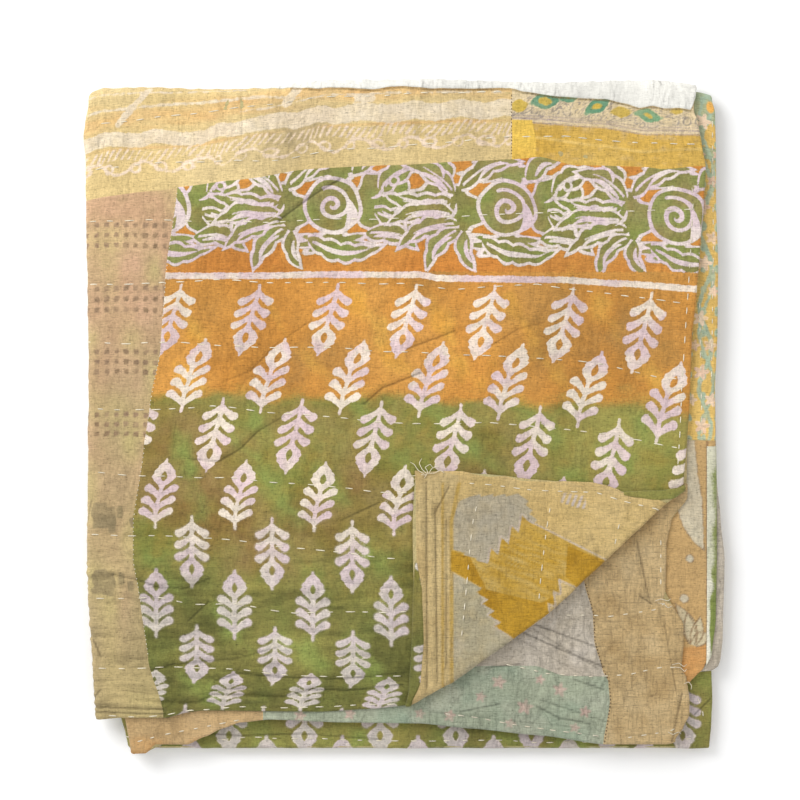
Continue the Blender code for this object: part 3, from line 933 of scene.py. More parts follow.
def patch(name, layer, left, right, top, low, cell, relief, material, marks=None,
          tucked="lrtb", hemmed="", lift=0.0, keep=None):
    """A patch of cloth on one layer, between two side tables and two edge tables.

    left and right are (down, right) tables, top and low are (right, down) tables. relief
    gives the height over the inner sheet's middle, in millimetres.
    """
    width = np.mean([row[1] for row in right]) - np.mean([row[1] for row in left])
    height = np.mean([row[1] for row in low]) - np.mean([row[1] for row in top])
    columns = max(6, round(width / cell))
    rows = max(6, round(height / cell))

    def place(s, t):
        s = ring_share(s, columns, width)
        t = ring_share(t, rows, height)
        down = np.mean([row[1] for row in low]) - t * height
        for _ in range(SOLVE_STEPS):
            start = between(left, down)
            over = start + s * (between(right, down) - start)
            bottom = between(low, over)
            down = bottom + t * (between(top, over) - bottom)
        out = lift + relief(over, down)
        seam = np.clip(from_edges(s, t, width, height, tucked) / RING_STEPS[2], 0, 1)
        out = out - TUCK * (1 - np.sqrt(seam))
        hem = np.clip(from_edges(s, t, width, height, hemmed) / RING_STEPS[2], 0, 1)
        out = -HEM_ROLL + (out + HEM_ROLL) * np.sqrt(hem)
        x, length = sheet_place(layer, over, down)
        points = folded(x, length, SIDES[layer] * out * MM)
        laid = np.stack([x, length], axis=1)
        painted = marks(over, down) if marks else {}
        # Painted shade of the layer's creases, as a mark.
        painted["dent"] = painted_crease_shade(over, down, SHADED_CREASES[layer])
        return np.stack([over, down], axis=1), laid, points, painted

    piece, flat, area = grid_piece(name, columns, rows, place, keep, layer == "eighth")
    settle(piece, material)


# Heights of the layers' faces over the middle of the inner sheet, in millimetres, and the most or
# the least that a face may have where another layer lies on it.
TOP_BASE = 2.05
FLAP_BASE = 1.55
LOWER_BASE = 1.30
COVERED = 1.80
UNDER_FLAP = 2.25
LEAST_OPEN = 1.1
LEAST_LOWER = 1.05


def hidden_by_top(right, down):
    """How far inside the top layer's edge a place in the view lies, in millimetres."""
    inside = np.minimum(between(HEM_LOW_TOP, right) - down, between(HEM_RIGHT_TOP, down) - right)
    bulge = bow(CORNER_X + right * MM, CORNER_Y - down * MM, 0.0) / MM
    return np.minimum(inside, bulge - flap_reach(right, down))


def top_face(right, down):
    """Height of the top layer's face over the inner sheet, in millimetres."""
    height = TOP_BASE + top_relief(right, down)
    under_flap = (right > 416) & (down > 486)
    return np.where(under_flap, np.minimum(height, UNDER_FLAP), height)


# Rows of stitches and creases of the turned corner, as on the top layer.
FLAP_ROWS = (
    ((478, 498), (473, 520), (470, 545), (465, 600), (460, 650)),
    ((550, 505), (546, 530), (540, 580), (538, 605)),
    ((622, 510), (617, 530), (613, 550)),
    ((457, 481), (500, 486), (555, 491), (595, 493), (620, 501), (660, 510)),
)
FLAP_CREASES = (
    (421, 478, 423, 690, 1.8, 0.9), (426, 482, 427, 688, 1.4, -0.9),
    (431, 500, 433, 684, 1.8, 0.9), (435, 508, 437, 680, 1.4, -0.8), (441, 500, 441, 674, 2.0, 0.7),
    (449, 486, 434, 514, 1.5, -0.9), (454, 486, 440, 506, 2.0, 0.7), (450, 500, 450, 664, 1.6, 0.5),
    (446, 520, 446, 668, 1.3, -0.6), (470, 488, 655, 506, 2.4, 0.7),
    (500, 640, 560, 560, 6.0, 0.5), (520, 500, 540, 560, 6.0, -0.3),
    (600, 512, 570, 560, 6.0, 0.4), (455, 560, 520, 600, 7.0, 0.4),
    (452, 640, 480, 600, 6.0, 0.4), (640, 505, 600, 520, 4.0, -0.3),
    (478, 500, 468, 620, 5.0, -0.35), (548, 505, 538, 604, 5.0, -0.35),
)


def flap_face(right, down):
    """Height of the turned corner's face over the inner sheet, in millimetres."""
    height = FLAP_BASE + crumple(right, down, 0.55, 31) + creased(right, down, FLAP_CREASES)
    return np.maximum(height, LEAST_OPEN)


SECOND_CREASES = (
    (637, 544, 654, 600, 4.0, 0.8), (650, 510, 660, 590, 4.0, -0.5),
    (662, 600, 612, 614, 5.0, -0.7), (616, 640, 680, 632, 6.0, 0.7),
    (612, 700, 688, 706, 5.0, 0.6), (672, 604, 680, 730, 4.0, 0.7),
    (655, 612, 664, 740, 6.0, -0.4), (500, 660, 590, 678, 5.0, -0.6),
    (500, 690, 600, 705, 6.0, 0.5), (520, 620, 585, 660, 7.0, 0.4),
    (430, 712, 600, 730, 3.0, -0.5), (440, 706, 600, 722, 3.0, 0.5),
    (150, 735, 200, 728, 3.0, 0.5), (206, 718, 262, 718, 3.0, 0.4),
    (606, 640, 607, 735, 2.0, 0.5), (535, 625, 600, 665, 1.6, 0.9), (533, 629, 598, 669, 1.8, -0.6),
    (520, 633, 590, 672, 1.8, 0.6), (517, 638, 586, 677, 2.0, -0.5), (560, 620, 604, 640, 2.2, 0.4),
    (575, 600, 600, 652, 2.5, -0.3), (637, 541, 649, 599, 1.5, -0.9), (632, 541, 645, 599, 1.8, 0.7),
    (604, 560, 660, 552, 4.0, 0.3), (612, 640, 640, 720, 5.0, -0.3), (648, 620, 668, 612, 2.0, 0.6),
    (640, 660, 684, 660, 3.0, 0.5), (540, 700, 606, 722, 2.0, -0.6), (536, 696, 604, 716, 2.0, 0.5),
    (470, 690, 560, 708, 4.0, -0.3), (664, 620, 676, 690, 2.0, -0.6),
    (522, 632, 566, 652, 1.6, -1.0), (566, 652, 604, 667, 1.8, -0.9), (533, 624, 596, 647, 1.7, -0.9),
    (524, 628, 600, 661, 3.0, 0.8), (536, 706, 559, 718, 1.6, -1.0), (559, 718, 590, 724, 1.7, -0.9),
    (538, 702, 590, 719, 3.0, 0.8), (486, 668, 520, 664, 2.0, -0.7), (575, 680, 604, 690, 1.8, -0.7),
    (460, 712, 500, 704, 2.0, -0.7), (682, 694, 672, 742, 1.5, -0.9), (640, 596, 652, 604, 1.6, -0.9),
)


def second_face(right, down):
    """Height of the second layer's face over the inner sheet, in millimetres."""
    height = LOWER_BASE + 0.35 + crumple(right, down, 0.95, 47) + creased(right, down, SECOND_CREASES)
    height = np.maximum(height, LEAST_OPEN)
    held = np.clip((hidden_by_top(right, down) + 5) / 5, 0, 1)
    return np.where(height > COVERED, height + (COVERED - height) * held, height)


FIFTH_CREASES = (
    (196, 735, 240, 737, 1.8, -0.9), (240, 737, 300, 735, 1.8, -0.8), (300, 735, 384, 741, 1.8, -0.7),
    (160, 738, 132, 716, 2.2, -0.6), (590, 742, 650, 739, 1.8, -0.7), (696, 716, 712, 700, 1.6, -0.8),
)
# Creases whose painted shade goes into each layer's colour.
SHADED_CREASES = {
    "top": CREASES, "flap": FLAP_CREASES, "second": SECOND_CREASES, "third": (), "fourth": (),
    "fifth": FIFTH_CREASES, "eighth": (),
}


def lower_face(right, down):
    """Height of a deeper layer's face over the inner sheet, in millimetres."""
    lines = 0.5 * soft_noise(right / 30, down / 4.5, 63)
    return np.maximum(LOWER_BASE + crumple(right, down, 0.5, 61) + lines, LEAST_LOWER)


def under_face(right, down):
    """Height of the underside's face over the inner sheet, in millimetres."""
    return np.minimum(lower_face(right, down), LEAST_OPEN)


# Millimetres over which a mark passes from 0 to 1 at a printed edge.
EDGE_WIDTH = 4.0


def cover(distance):
    """A mark that is 0.5 along an edge, from the distance outside it in millimetres."""
    return np.clip(0.5 - distance / EDGE_WIDTH, -1, 2)


def speckle(right, down, strength, size, seed):
    """Smooth noise of a strength, with bumps of one size in millimetres."""
    return strength * soft_noise(right / size, down / size, seed)


def capsule(x, y, row, radius):
    """Distance outside a round-ended bar."""
    away, _ = off_line(x, y, row)
    return away - radius


def polygon(right, down, corners):
    """Distance outside a many-sided shape, less than zero inside it."""
    away = 1e3
    inside = np.zeros(right.shape, bool)
    for (x0, y0), (x1, y1) in zip(corners, corners[1:] + corners[:1]):
        distance, _ = off_line(right, down, (x0, y0, x1, y1))
        away = np.minimum(away, distance)
        rise = y1 - y0 if y1 != y0 else 1e-6
        crossing = ((y0 > down) != (y1 > down)) & (right < x0 + (down - y0) * (x1 - x0) / rise)
        inside ^= crossing
    return np.where(inside, -away, away)


# The sprig print: rows of (foot down, tip down, first sprig, step between sprigs), and the lean.
SPRIG_ROWS = (
    (283, 352, 195.9, 78.4), (397, 469, 196.6, 79.2), (515, 584, 192.0, 80.1),
    (624, 680, 197.0, 78.0), (704, 770, 196.5, 78.0),
    (412, 340, 156.6, 79.2), (528, 461, 155.5, 79.4), (637, 571, 156.4, 78.2),
    (708, 671, 156.0, 77.6),
)
SPRIG_LEAN = (
    (272, 67), (283, 64), (340, 49), (352, 44), (372, 34.5), (397, 27), (469, 10), (515, 0),
    (671, 0), (706, -11), (760, -11),
)
# How far the print's rows sag towards the right, and the share of it at each place down the view.
SPRIG_DROOP = (
    (130, 0), (160, 0), (300, 1.5), (385, 3.5), (465, 6), (544, 8), (620, 18), (690, 27),
)
DROOP_SHARE = ((272, 0.3), (352, 0.9), (400, 1.1), (500, 1.9), (640, 2.4), (700, 1.9))
# A sprig: its height, its pairs of leaves with the lowest one's foot, their step and how far they
# rise, and the bud at its tip as (height up the sprig, half width).
SPRIG_HEIGHT = 69
LEAF_PAIRS = 3
LEAF_FOOT = 8.4
LEAF_STEP = 11.9
LEAF_RISE = 9.2
BUD = (
    (41, 2.2), (44, 3.8), (47, 8.0), (50, 11.2), (54, 12.2), (58, 11.0), (62, 8.2), (66, 4.6), (69, 1.6),
    (71, 0.3),
)


def sprig(across, up):
    """Distance outside one leafy sprig, from its foot at the origin, in millimetres."""
    side = np.abs(across)
    shape = capsule(side, up, (0, 1, 0, 12), 1.5)
    shape = np.minimum(shape, capsule(side, up, (0, 12, 0, 46), 2.1))
    bowed = up - 1.7 * np.sin(math.pi * np.clip(side / 16, 0, 1))
    for pair in range(LEAF_PAIRS):
        foot = LEAF_FOOT + LEAF_STEP * pair
        away, share = off_line(side, bowed, (1.5, foot, 14.8, foot + LEAF_RISE))
        shape = np.minimum(shape, away - (2.45 + 1.15 * share))
    half = between(BUD, up) + np.where(up > 50, 1.5 * np.abs(np.sin((up - 50) * 0.52)) - 0.6, 0.0)
    bud = np.maximum(side - half, np.maximum(41 - up, up - 72))
    shape = np.minimum(shape, bud)
    drop = np.clip((up - 47.5) / 12.5, 0, 1)
    width = 3.5 * np.sin(math.pi * drop) * (1.25 - 0.6 * drop)
    hole = np.where((drop > 0) & (drop < 1), side - width, 3.0)
    return np.maximum(shape, -hole)


def sprig_print(right, down):
    """Distance outside the nearest sprig of the print."""
    sag = between(SPRIG_DROOP, right) * between(DROOP_SHARE, down)
    level = down - sag
    straight = right - between(SPRIG_LEAN, level)
    shape = np.full_like(right, 9.0)
    for foot, tip, first, step in SPRIG_ROWS:
        up = (level - foot) / (tip - foot) * SPRIG_HEIGHT
        near = (up > -6) & (up < 76)
        across = (straight[near] - first + step / 2) % step - step / 2
        slimmer = 1.02 if foot < 500 else 1.07
        shape[near] = np.minimum(shape[near], sprig(across * slimmer, up[near]))
    return shape


# Soft patches of browner or greener dye: (right, down, reach, strength).
DYE = (
    (200, 490, 55, 0.8), (240, 545, 60, 0.5), (350, 510, 60, 0.6), (150, 560, 50, -0.4),
    (600, 445, 80, -0.5), (480, 440, 50, 0.5), (350, 640, 60, -0.5), (200, 640, 70, -0.5),
    (300, 420, 60, -0.5), (395, 430, 40, -0.5), (640, 470, 50, -0.4), (380, 690, 60, -0.4),
    (300, 376, 60, 0.5), (420, 330, 50, -0.3), (250, 300, 50, -0.2), (560, 300, 60, 0.4),
    (640, 330, 60, 0.5), (180, 380, 40, -0.3), (440, 290, 30, 0.3), (330, 560, 60, -0.3),
)
# Faint leaves of an older print: (right, down, right, down, half width).
GHOST_LEAVES = (
    (248, 392, 264, 436, 7), (352, 404, 376, 430, 6), (176, 428, 196, 476, 9),
    (196, 488, 206, 524, 8), (318, 468, 344, 500, 9), (380, 430, 404, 470, 8),
    (420, 404, 452, 426, 7), (455, 440, 498, 470, 8), (520, 404, 556, 440, 8),
    (604, 448, 640, 476, 8), (640, 420, 668, 452, 7), (262, 478, 300, 520, 8),
    (350, 540, 392, 574, 8), (150, 560, 184, 600, 8), (214, 612, 250, 650, 8),
    (282, 640, 330, 668, 8), (350, 640, 388, 690, 8), (180, 676, 220, 700, 7),
    (560, 470, 600, 490, 7), (230, 440, 262, 462, 6), (300, 560, 330, 600, 7),
    (188, 318, 206, 352, 7), (262, 296, 286, 336, 7), (352, 296, 380, 330, 8),
    (378, 340, 410, 372, 8), (430, 300, 452, 344, 7), (506, 300, 534, 340, 7),
    (540, 356, 566, 384, 6), (596, 300, 622, 344, 7), (300, 352, 330, 376, 6),
    (450, 350, 476, 384, 7), (636, 360, 660, 384, 6), (176, 366, 200, 388, 6),
)
# The white line between scroll and sprigs: its place down the view, half width and sag.
LINE_DOWN = 275
LINE_HALF = 3.2
WHITE_LINE = ((160, 0), (300, 0), (420, 0.5), (440, 4), (560, 5), (620, 9), (696, 14))
# How far down the view the ground turns from ochre to green.
GREEN_FROM = 398


def white_line(right, down):
    """Distance outside the white line."""
    return np.abs(down - LINE_DOWN - between(WHITE_LINE, right)) - LINE_HALF


def spots(right, down, rows):
    """The sum of soft round spots: (right, down, reach, strength)."""
    value = np.zeros_like(right)
    for x, y, reach, strength in rows:
        value = value + strength * np.exp(-((right - x) ** 2 + (down - y) ** 2) / reach**2)
    return value


def dyed(right, down, rows):
    """How brown the dye is at a place, about 0."""
    base = speckle(right, down, 0.35, 60, 71) + speckle(right, down, 0.25, 21, 72)
    return base + spots(right, down, rows)


# Faded places of the ground: (right, down, reach across, reach down, strength).
FADED = (
    (625, 432, 80, 42, 1.0), (500, 418, 40, 14, 0.5), (300, 650, 60, 22, 0.7), (240, 588, 50, 18, 0.6),
    (365, 600, 40, 20, 0.5), (180, 655, 40, 14, 0.4),
)


def field_marks(right, down):
    """The marks of the sprig print's ground, line and sprigs."""
    sag = between(SPRIG_DROOP, right)
    level = down - 0.5 * sag
    edge = GREEN_FROM + 7 * soft_noise(right / 45, down / 200, 73)
    edge = edge + 3 * soft_noise(right / 12, down / 9, 74)
    heavy = np.clip(0.5 + (level - edge) / 20, 0.6, 1)
    shape = np.minimum(sprig_print(right, down), white_line(right, down))
    lens = np.full_like(right, 12.0)
    for x0, y0, x1, y1, half in GHOST_LEAVES:
        away, share = off_line(right, down, (x0, y0, x1, y1))
        lens = np.minimum(lens, away - half * np.sin(math.pi * (0.12 + 0.76 * share)))
    lens = lens + speckle(right, down, 3.5, 7, 77)
    ghost = 0.9 * soft_noise(right / 17 + down / 60, down / 25, 75) - np.clip(lens / 9, -1, 1.2)
    light = np.full_like(right, -0.2)
    for x, y, wide, tall, strength in FADED:
        light = light + strength * np.exp(-(((right - x) / wide) ** 2) - ((down - y) / tall) ** 2)
    return {
        "print": cover(shape + speckle(right, down, 0.5, 3, 76)),
        "green": np.clip(0.5 + (level - edge) / 15, 0, 1),
        "brown": 0.03 + heavy * (0.25 + dyed(right, down, DYE)),
        "ghost": 0.5 + 0.35 * ghost,
        "fresh": np.minimum(0.42 + 0.35 * ghost, 0.5 + (level - edge) / 26),
        "deep": 0.5 + (level - 570) / 100 + 0.35 * soft_noise(right / 50, down / 40, 94),
        "dull": np.minimum(cover(shape), 0.5 + (level - 560) / 140),
        "light": light + 0.2 * soft_noise(right / 16, down / 9, 96),
    }


# One repeat of the leaf scroll, in millimetres from the middle of its spiral, painted in this order.
# Body: (right, down, half width, half height, lobes, start). Ring: (right, down, radius).
# Leaf or curl: (right, down, right, down, half width, bend, lobes). The first pair is its foot.
SCROLL_MIDDLES = ((162, 206), (333, 206), (507, 208), (677, 211))
SCROLL_BODIES = (
    (-66, 4, 44, 30, 9, 0.4), (50, -2, 30, 34, 8, 2.0), (-2, 36, 42, 12, 7, 1.0), (0, -36, 42, 12, 7, 0.5),
)
SCROLL_LEAVES = (
    (20, -30, 60, -52, 11.0, -6, 2), (46, -14, 94, -40, 13.0, -8, 3), (40, 4, 92, 6, 12.0, 8, 3),
    (34, 28, 88, 46, 12.0, -8, 3), (-46, -20, 20, -48, 11.5, -9, 4), (-58, -24, -76, -54, 10.0, 5, 2),
    (-56, -6, -126, -16, 11.5, -6, 4), (-52, -14, -106, -42, 12.0, 8, 3),
    (-52, 8, -124, 18, 12.0, 9, 4), (-48, 16, -112, 44, 12.0, 9, 4), (-46, 22, -80, 66, 11.5, 9, 3),
    (-42, 24, -30, 64, 9.5, 6, 2), (-26, 32, 56, 38, 12.0, 12, 5),
)
SCROLL_CURLS = (
    (-60, -16, -94, -34, 2.4, 5, 1), (-64, -7, -110, -14, 2.2, -5, 1), (-62, 9, -108, 17, 2.6, 7, 1),
    (-58, 20, -98, 38, 2.6, 7, 1), (-54, 30, -74, 58, 2.4, 7, 1), (-18, 36, 40, 42, 2.6, 8, 1),
    (52, -19, 82, -35, 2.4, -5, 1), (48, 5, 82, 7, 2.4, 6, 1), (-40, 33, -32, 56, 2.0, 4, 1),
    (42, 31, 76, 42, 2.2, -5, 1), (-30, -27, 8, -44, 2.2, -7, 1), (-50, -4, -62, 12, 1.8, -4, 1),
    (38, -8, 50, -24, 1.8, 4, 1), (-64, -30, -72, -46, 1.8, 3, 1), (28, -34, 50, -46, 2.0, -4, 1),
)
SCROLL_RINGS = ((60, -24, 5.5),)
# Width of the white lines, the least half width of a leaf with a vein, the spiral's radius, the step
# between its turns, and its stem as a leaf.
OUTLINE = 3.0
VEIN_FROM = 11.4
SPIRAL_RADIUS = 20.0
SPIRAL_STEP = 11.0
SPIRAL_STEM = (17, -6, 11, 25, 4.6, -5, 1)


def leaf(x, y, row):
    """Distance outside a bent leaf with lobed edges, and the distance outside its vein."""
    run_x = row[2] - row[0]
    run_y = row[3] - row[1]
    size = math.hypot(run_x, run_y)
    along = ((x - row[0]) * run_x + (y - row[1]) * run_y) / size**2
    beside = ((y - row[1]) * run_x - (x - row[0]) * run_y) / size
    held = np.clip(along, 0, 1)
    beside = beside - row[5] * 4 * held * (1 - held)
    lobes = 0.80 + 0.24 * np.abs(np.sin(math.pi * row[6] * held))
    half = row[4] * np.sin(math.pi * (0.08 + 0.92 * held) ** 0.8) ** 0.8 * lobes
    past = np.abs(along - held) * size
    outside = np.where(past > 0, np.hypot(past, beside), np.abs(beside) - half)
    vein = np.maximum(np.abs(beside) - 1.5 * (1 - held), np.abs(along - 0.36) * size - 0.30 * size)
    return outside, vein


def scroll_marks(right, down):
    """The marks of the leaf scroll: where it is green, and where its white lines are."""
    green = np.full_like(right, -1.0)
    white = np.full_like(right, -1.0)

    def paint(distance, line=OUTLINE):
        nonlocal green, white
        outer = cover(distance)
        inner = cover(distance + line)
        green = np.maximum(green, outer)
        white = np.maximum(np.minimum(outer, 1 - inner), np.minimum(white, 1 - outer))

    def draw(distance, there):
        nonlocal white
        white = np.maximum(white, np.minimum(cover(distance), there))

    sag = 0.22 * between(SPRIG_DROOP, right)
    for middle_x, middle_y in SCROLL_MIDDLES:
        x = right - middle_x + speckle(right, down, 1.8, 20, 78)
        y = down - middle_y - sag + speckle(right, down, 1.8, 20, 79)
        for body_x, body_y, wide, tall, lobes, first in SCROLL_BODIES:
            u = (x - body_x) / wide
            v = (y - body_y) / tall
            edge = (np.hypot(u, v) - 1) * tall + 2.2 * np.cos(lobes * np.arctan2(v, u) + first)
            paint(edge)
        for row in SCROLL_LEAVES:
            outside, vein = leaf(x, y, row)
            paint(outside)
            if row[4] >= VEIN_FROM:
                draw(vein, cover(outside))
        for row in SCROLL_CURLS:
            draw(leaf(x, y, row)[0], green)
        far = np.hypot(x, y * 1.06)
        angle = np.arctan2(y, x)
        paint(far - 30, 3.8)
        turns = ((angle + 2.2) / (2 * math.pi)) % 1.0
        coil = SPIRAL_RADIUS - SPIRAL_STEP * turns
        thick = 1.7 + 1.0 * np.clip((SPIRAL_RADIUS - far) / 16, 0, 1)
        curl = np.minimum(np.abs(far - coil), np.abs(far - coil + SPIRAL_STEP)) - thick
        draw(curl, cover(np.maximum(far - 21.5, 1.5 - far)))
        draw(leaf(x, y, SPIRAL_STEM)[0], cover(far - 29))
        for ring_x, ring_y, radius in SCROLL_RINGS:
            paint(np.hypot(x - ring_x, y - ring_y) - radius, 2.6)
    return green, white


def band_marks(right, down):
    """The marks of the scroll border above the sprig print."""
    marks = field_marks(right, down)
    line = white_line(right, down) + speckle(right, down, 0.5, 3, 76)
    green, white = scroll_marks(right, down)
    marks["print"] = np.maximum(white, cover(line))
    marks["scroll"] = green
    marks["fresh"] = np.minimum(green, 0.42 + 0.5 * soft_noise(right / 22, down / 18, 80))
    return marks


# Squares printed on the left strip: rows down, first one, pitch across and half size.
SQUARE_ROWS = (224, 234.5, 245, 288, 298.5, 309, 352, 362.5, 372, 415, 425, 434.5)
SQUARE_FIRST = 87.5
SQUARE_PITCH = 9.7
SQUARE_HALF = 2.5
# Vases printed below them: (right, down, half width, half height).
VASES = (
    (100, 512, 9, 9), (112, 520, 5, 13), (104, 524, 11, 4), (101, 578, 9, 9),
    (111, 584, 5, 12), (103, 590, 11, 4), (120, 512, 3, 6), (122, 578, 3, 6),
    (133, 522, 3, 5), (131, 586, 3, 5),
)


def strip_marks(right, down):
    """The marks of the printed strip at the left."""
    wave = 1.2 * soft_noise(right / 30, down / 40, 81)
    step_x = np.abs((right - SQUARE_FIRST + SQUARE_PITCH / 2) % SQUARE_PITCH - SQUARE_PITCH / 2)
    square = nearest(np.maximum(step_x, np.abs(down - row + wave)) - SQUARE_HALF for row in SQUARE_ROWS)

    def vase(x, y, half_x, half_y):
        bulge = half_x * (0.86 + 0.14 * np.cos((down - y) * 0.32))
        return np.maximum(np.abs(right - x) - bulge, np.abs(down - y) - half_y)

    return {
        "squares": cover(square + speckle(right, down, 0.8, 2.5, 82)),
        "vases": cover(nearest(vase(*row) for row in VASES) + speckle(right, down, 0.9, 3, 83)),
        "pink": 0.7 + 0.5 * soft_noise(right / 40, down / 60, 84) + (385 - down) / 270,
        "ghost": 0.36 + 0.5 * soft_noise(right / 22, down / 34, 85),
    }


# The cream patch: the edges of its pale band, its pale lines as (right, down, right, down, half
# width), and its grey shades as (right, down, reach, strength).
PALE_BAND_TOP = ((60, 134), (88, 132), (190, 127), (240, 117), (290, 111), (400, 106), (515, 102))
PALE_BAND_LOW = ((60, 149), (88, 147), (190, 141), (240, 131), (290, 127), (400, 124), (515, 119))
PALE_LINES = (
    (84, 109, 130, 106, 1.2), (130, 106, 170, 101, 1.2), (170, 101, 262, 93, 1.3),
    (86, 92, 130, 91, 0.9), (130, 91, 245, 85, 0.9), (262, 93, 300, 98, 1.0),
    (150, 86, 134, 103, 2.6), (134, 103, 118, 122, 3.2), (298, 89, 286, 102, 4.2),
    (240, 108, 330, 98, 0.7), (330, 98, 505, 94, 0.7), (358, 101, 372, 101, 4.2),
)
GREY_SHADES = (
    (290, 140, 30, 0.9), (312, 122, 22, 0.7), (235, 152, 22, 0.5), (470, 150, 30, 0.3),
    (205, 165, 16, 0.4), (268, 112, 14, 0.3),
)


def white_edge_shadow(right, down):
    """The mark of the painted shadow along the white patch's torn edge."""
    beside = np.abs(down - between(WHITE_LOW, right) - 1.0) - 0.9
    return np.where(right > 290, cover(beside), -1.0)


def cream_marks(right, down):
    """The marks of the striped cream patch at the top left."""
    wobble = speckle(right, down, 0.9, 3, 87)
    waved = down + 1.7 * np.sin(right / 8.0 + 2.2 * soft_noise(right / 40, right / 40, 95))
    band = np.maximum(between(PALE_BAND_TOP, right) - waved, waved - between(PALE_BAND_LOW, right))
    lines = nearest(capsule(right, down, row, row[4]) for row in PALE_LINES)
    below = down - between(PALE_BAND_LOW, right)
    bend = right + 5 * soft_noise(right / 19, down / 40, 89)
    stroke = np.abs(((bend + 0.7 * below) % 6.8) - 3.4) - 1.3
    strokes = np.maximum(stroke, np.abs(below - 9 - 2 * np.sin(right / 11)) - 5.5)
    vine = np.abs(below - 22 - 6 * np.sin(bend / 8.5)) - 1.5
    loops = np.abs(np.hypot((bend + 9) % 26.7 - 13.3, (below - 22) * 1.2) - 5.2) - 1.3
    scroll = np.minimum(strokes, np.maximum(np.minimum(vine, loops), np.abs(below - 22) - 10))
    scroll = scroll + 0.9 * np.maximum(soft_noise(right / 14, down / 9, 90), 0)
    peach = np.clip(0.75 - np.abs(below + 30) / 22, -1, 1)
    peach = np.maximum(peach, 0.8 - np.abs(below - 2.5) / 4)
    return {
        "pale": cover(np.minimum(band, lines) + wobble),
        "scroll": cover(scroll + wobble),
        "grey": 0.15 + 0.6 * spots(right, down, GREY_SHADES),
        # The hem mark is painted shadow along the white patch's torn edge.
        "hem": white_edge_shadow(right, down),
        "peach": peach + 0.35 * soft_noise(right / 30, down / 6, 88),
    }


# Drops of the paisley border: (right, down, half length, half width, lean, yellow or teal).
PAISLEYS = (
    (519, 107, 8.0, 6.5, 0.4, 1), (545, 102, 12.5, 8.5, 0.5, 0), (569, 99, 9, 4.5, 0.3, 0),
    (597, 108, 12.0, 7.0, 0.1, 0), (621, 114, 9, 5.5, 0.5, 1), (648, 118, 12, 6.5, 0.8, 0),
    (676, 112, 6, 3.0, 0.2, 1),
)
# Corners of the yellow block at the border's left end, and the line between the border's halves.
BLOCK = [(511, 121), (532, 121), (536, 140), (536, 160), (511, 160)]
BORDER_LINE = ((510, 119), (540, 120), (600, 125), (648, 133), (701, 130))


def border_marks(right, down):
    """The marks of the paisley border at the top right."""
    below = down - between(BORDER_LINE, right)
    teal = np.full_like(right, 9.0)
    yellow = np.full_like(right, 9.0)
    pearls = np.full_like(right, 9.0)
    for x, y, long, short, lean, tint in PAISLEYS:
        u = (right - x) * math.cos(lean) + (down - y) * math.sin(lean)
        v = (down - y) * math.cos(lean) - (right - x) * math.sin(lean)
        v = v + 0.05 * u * u * np.sign(u)
        drop = (np.hypot(u / long, v / short) - 1) * short
        if tint:
            yellow = np.minimum(yellow, drop)
        else:
            teal = np.minimum(teal, drop)
            yellow = np.minimum(yellow, drop + 4.2)
            pearl = np.hypot(((np.arctan2(v, u) * 6 / math.pi) % 1.0 - 0.5) * 8.5, drop - 4.6)
            ring = np.abs(pearl - 3.0) - 0.45
            pearls = np.minimum(pearls, np.where(drop < 9.0, ring, 9.0))
    loose = np.abs(np.hypot((right + 3.0) % 12 - 6.0, below + 9) - 3.8) - 0.5
    pearls = np.minimum(pearls, np.where(teal > 8.8, loose, 9.0))
    lines = np.minimum(np.abs(below) - 0.8, np.abs(below + 3) - 0.4)
    lines = np.minimum(lines, np.abs(below - 4) - 0.6)
    # A pale wavy line painted as the highlight along a wrinkle.
    stripe = np.abs(below - 20 - 2 * np.sin(right / 30)) - 1.2
    wobble = speckle(right, down, 0.6, 3, 91)
    shade = np.exp(-((below + 4) / 9) ** 2)
    return {
        "cream": cover(below - 3.5),
        "shade": 0.05 + 0.40 * shade + 0.3 * soft_noise(right / 8, down / 5, 92),
        "block": cover(polygon(right, down, BLOCK)),
        "pearls": cover(np.maximum(pearls, below + 1) + wobble),
        "teal": cover(teal + wobble),
        "yellow": cover(np.maximum(yellow, below + 2) + wobble),
        "lines": cover(lines),
        "stripe": cover(stripe),
        # The hem mark is painted shadow along the white patch's torn edge.
        "hem": white_edge_shadow(right, down),
    }


def toothed(start, end, count, depth):
    """Corners of a saw edge from one place to another, with its teeth on the left hand."""
    run = np.subtract(end, start)
    side = np.array([run[1], -run[0]]) / np.hypot(*run)
    corners = []
    for k in range(count):
        corners.append(tuple(start + run * k / count))
        corners.append(tuple(start + run * (k + 1.0) / count + side * depth * 1.15))
    return corners


# The woven shapes on the turned corner, with stepped edges.
GREY_SHAPE = (
    [(452, 549), (452, 520), (459, 501)] + toothed((468, 497), (518, 496), 4, 2.5)
    + toothed((520, 495), (532, 522), 3, 5.0) + [(488, 568)]
)
MUSTARD_SHAPE = (
    toothed((451, 549), (488, 566), 3, 2.0) + toothed((488, 566), (529, 522), 4, 8.5)
    + [(529, 522), (604, 560), (592, 583), (576, 586)] + toothed((557, 577), (541, 613), 3, 7.0)
    + [(538, 618), (514, 638)] + toothed((508, 633), (483, 588), 4, 7.0) + [(483, 588), (451, 570)]
)
DARK_SHAPES = (
    [(567, 545), (604, 560), (592, 584), (576, 586), (565, 576)],
    [(472, 578), (486, 589), (541, 602), (566, 588), (548, 624), (512, 650), (470, 640)],
    [(451, 550), (470, 557), (486, 588), (451, 570)],
)
PALE_SHAPE = [(450, 571), (486, 590), (504, 631), (516, 642), (450, 700)]
TAN_SHAPE = [(416, 462), (459, 476), (457, 500), (451, 520), (450, 690), (406, 720), (406, 462)]
CHECK_SHAPE = [(561, 492), (584, 496), (587, 509), (576, 507), (560, 502)]


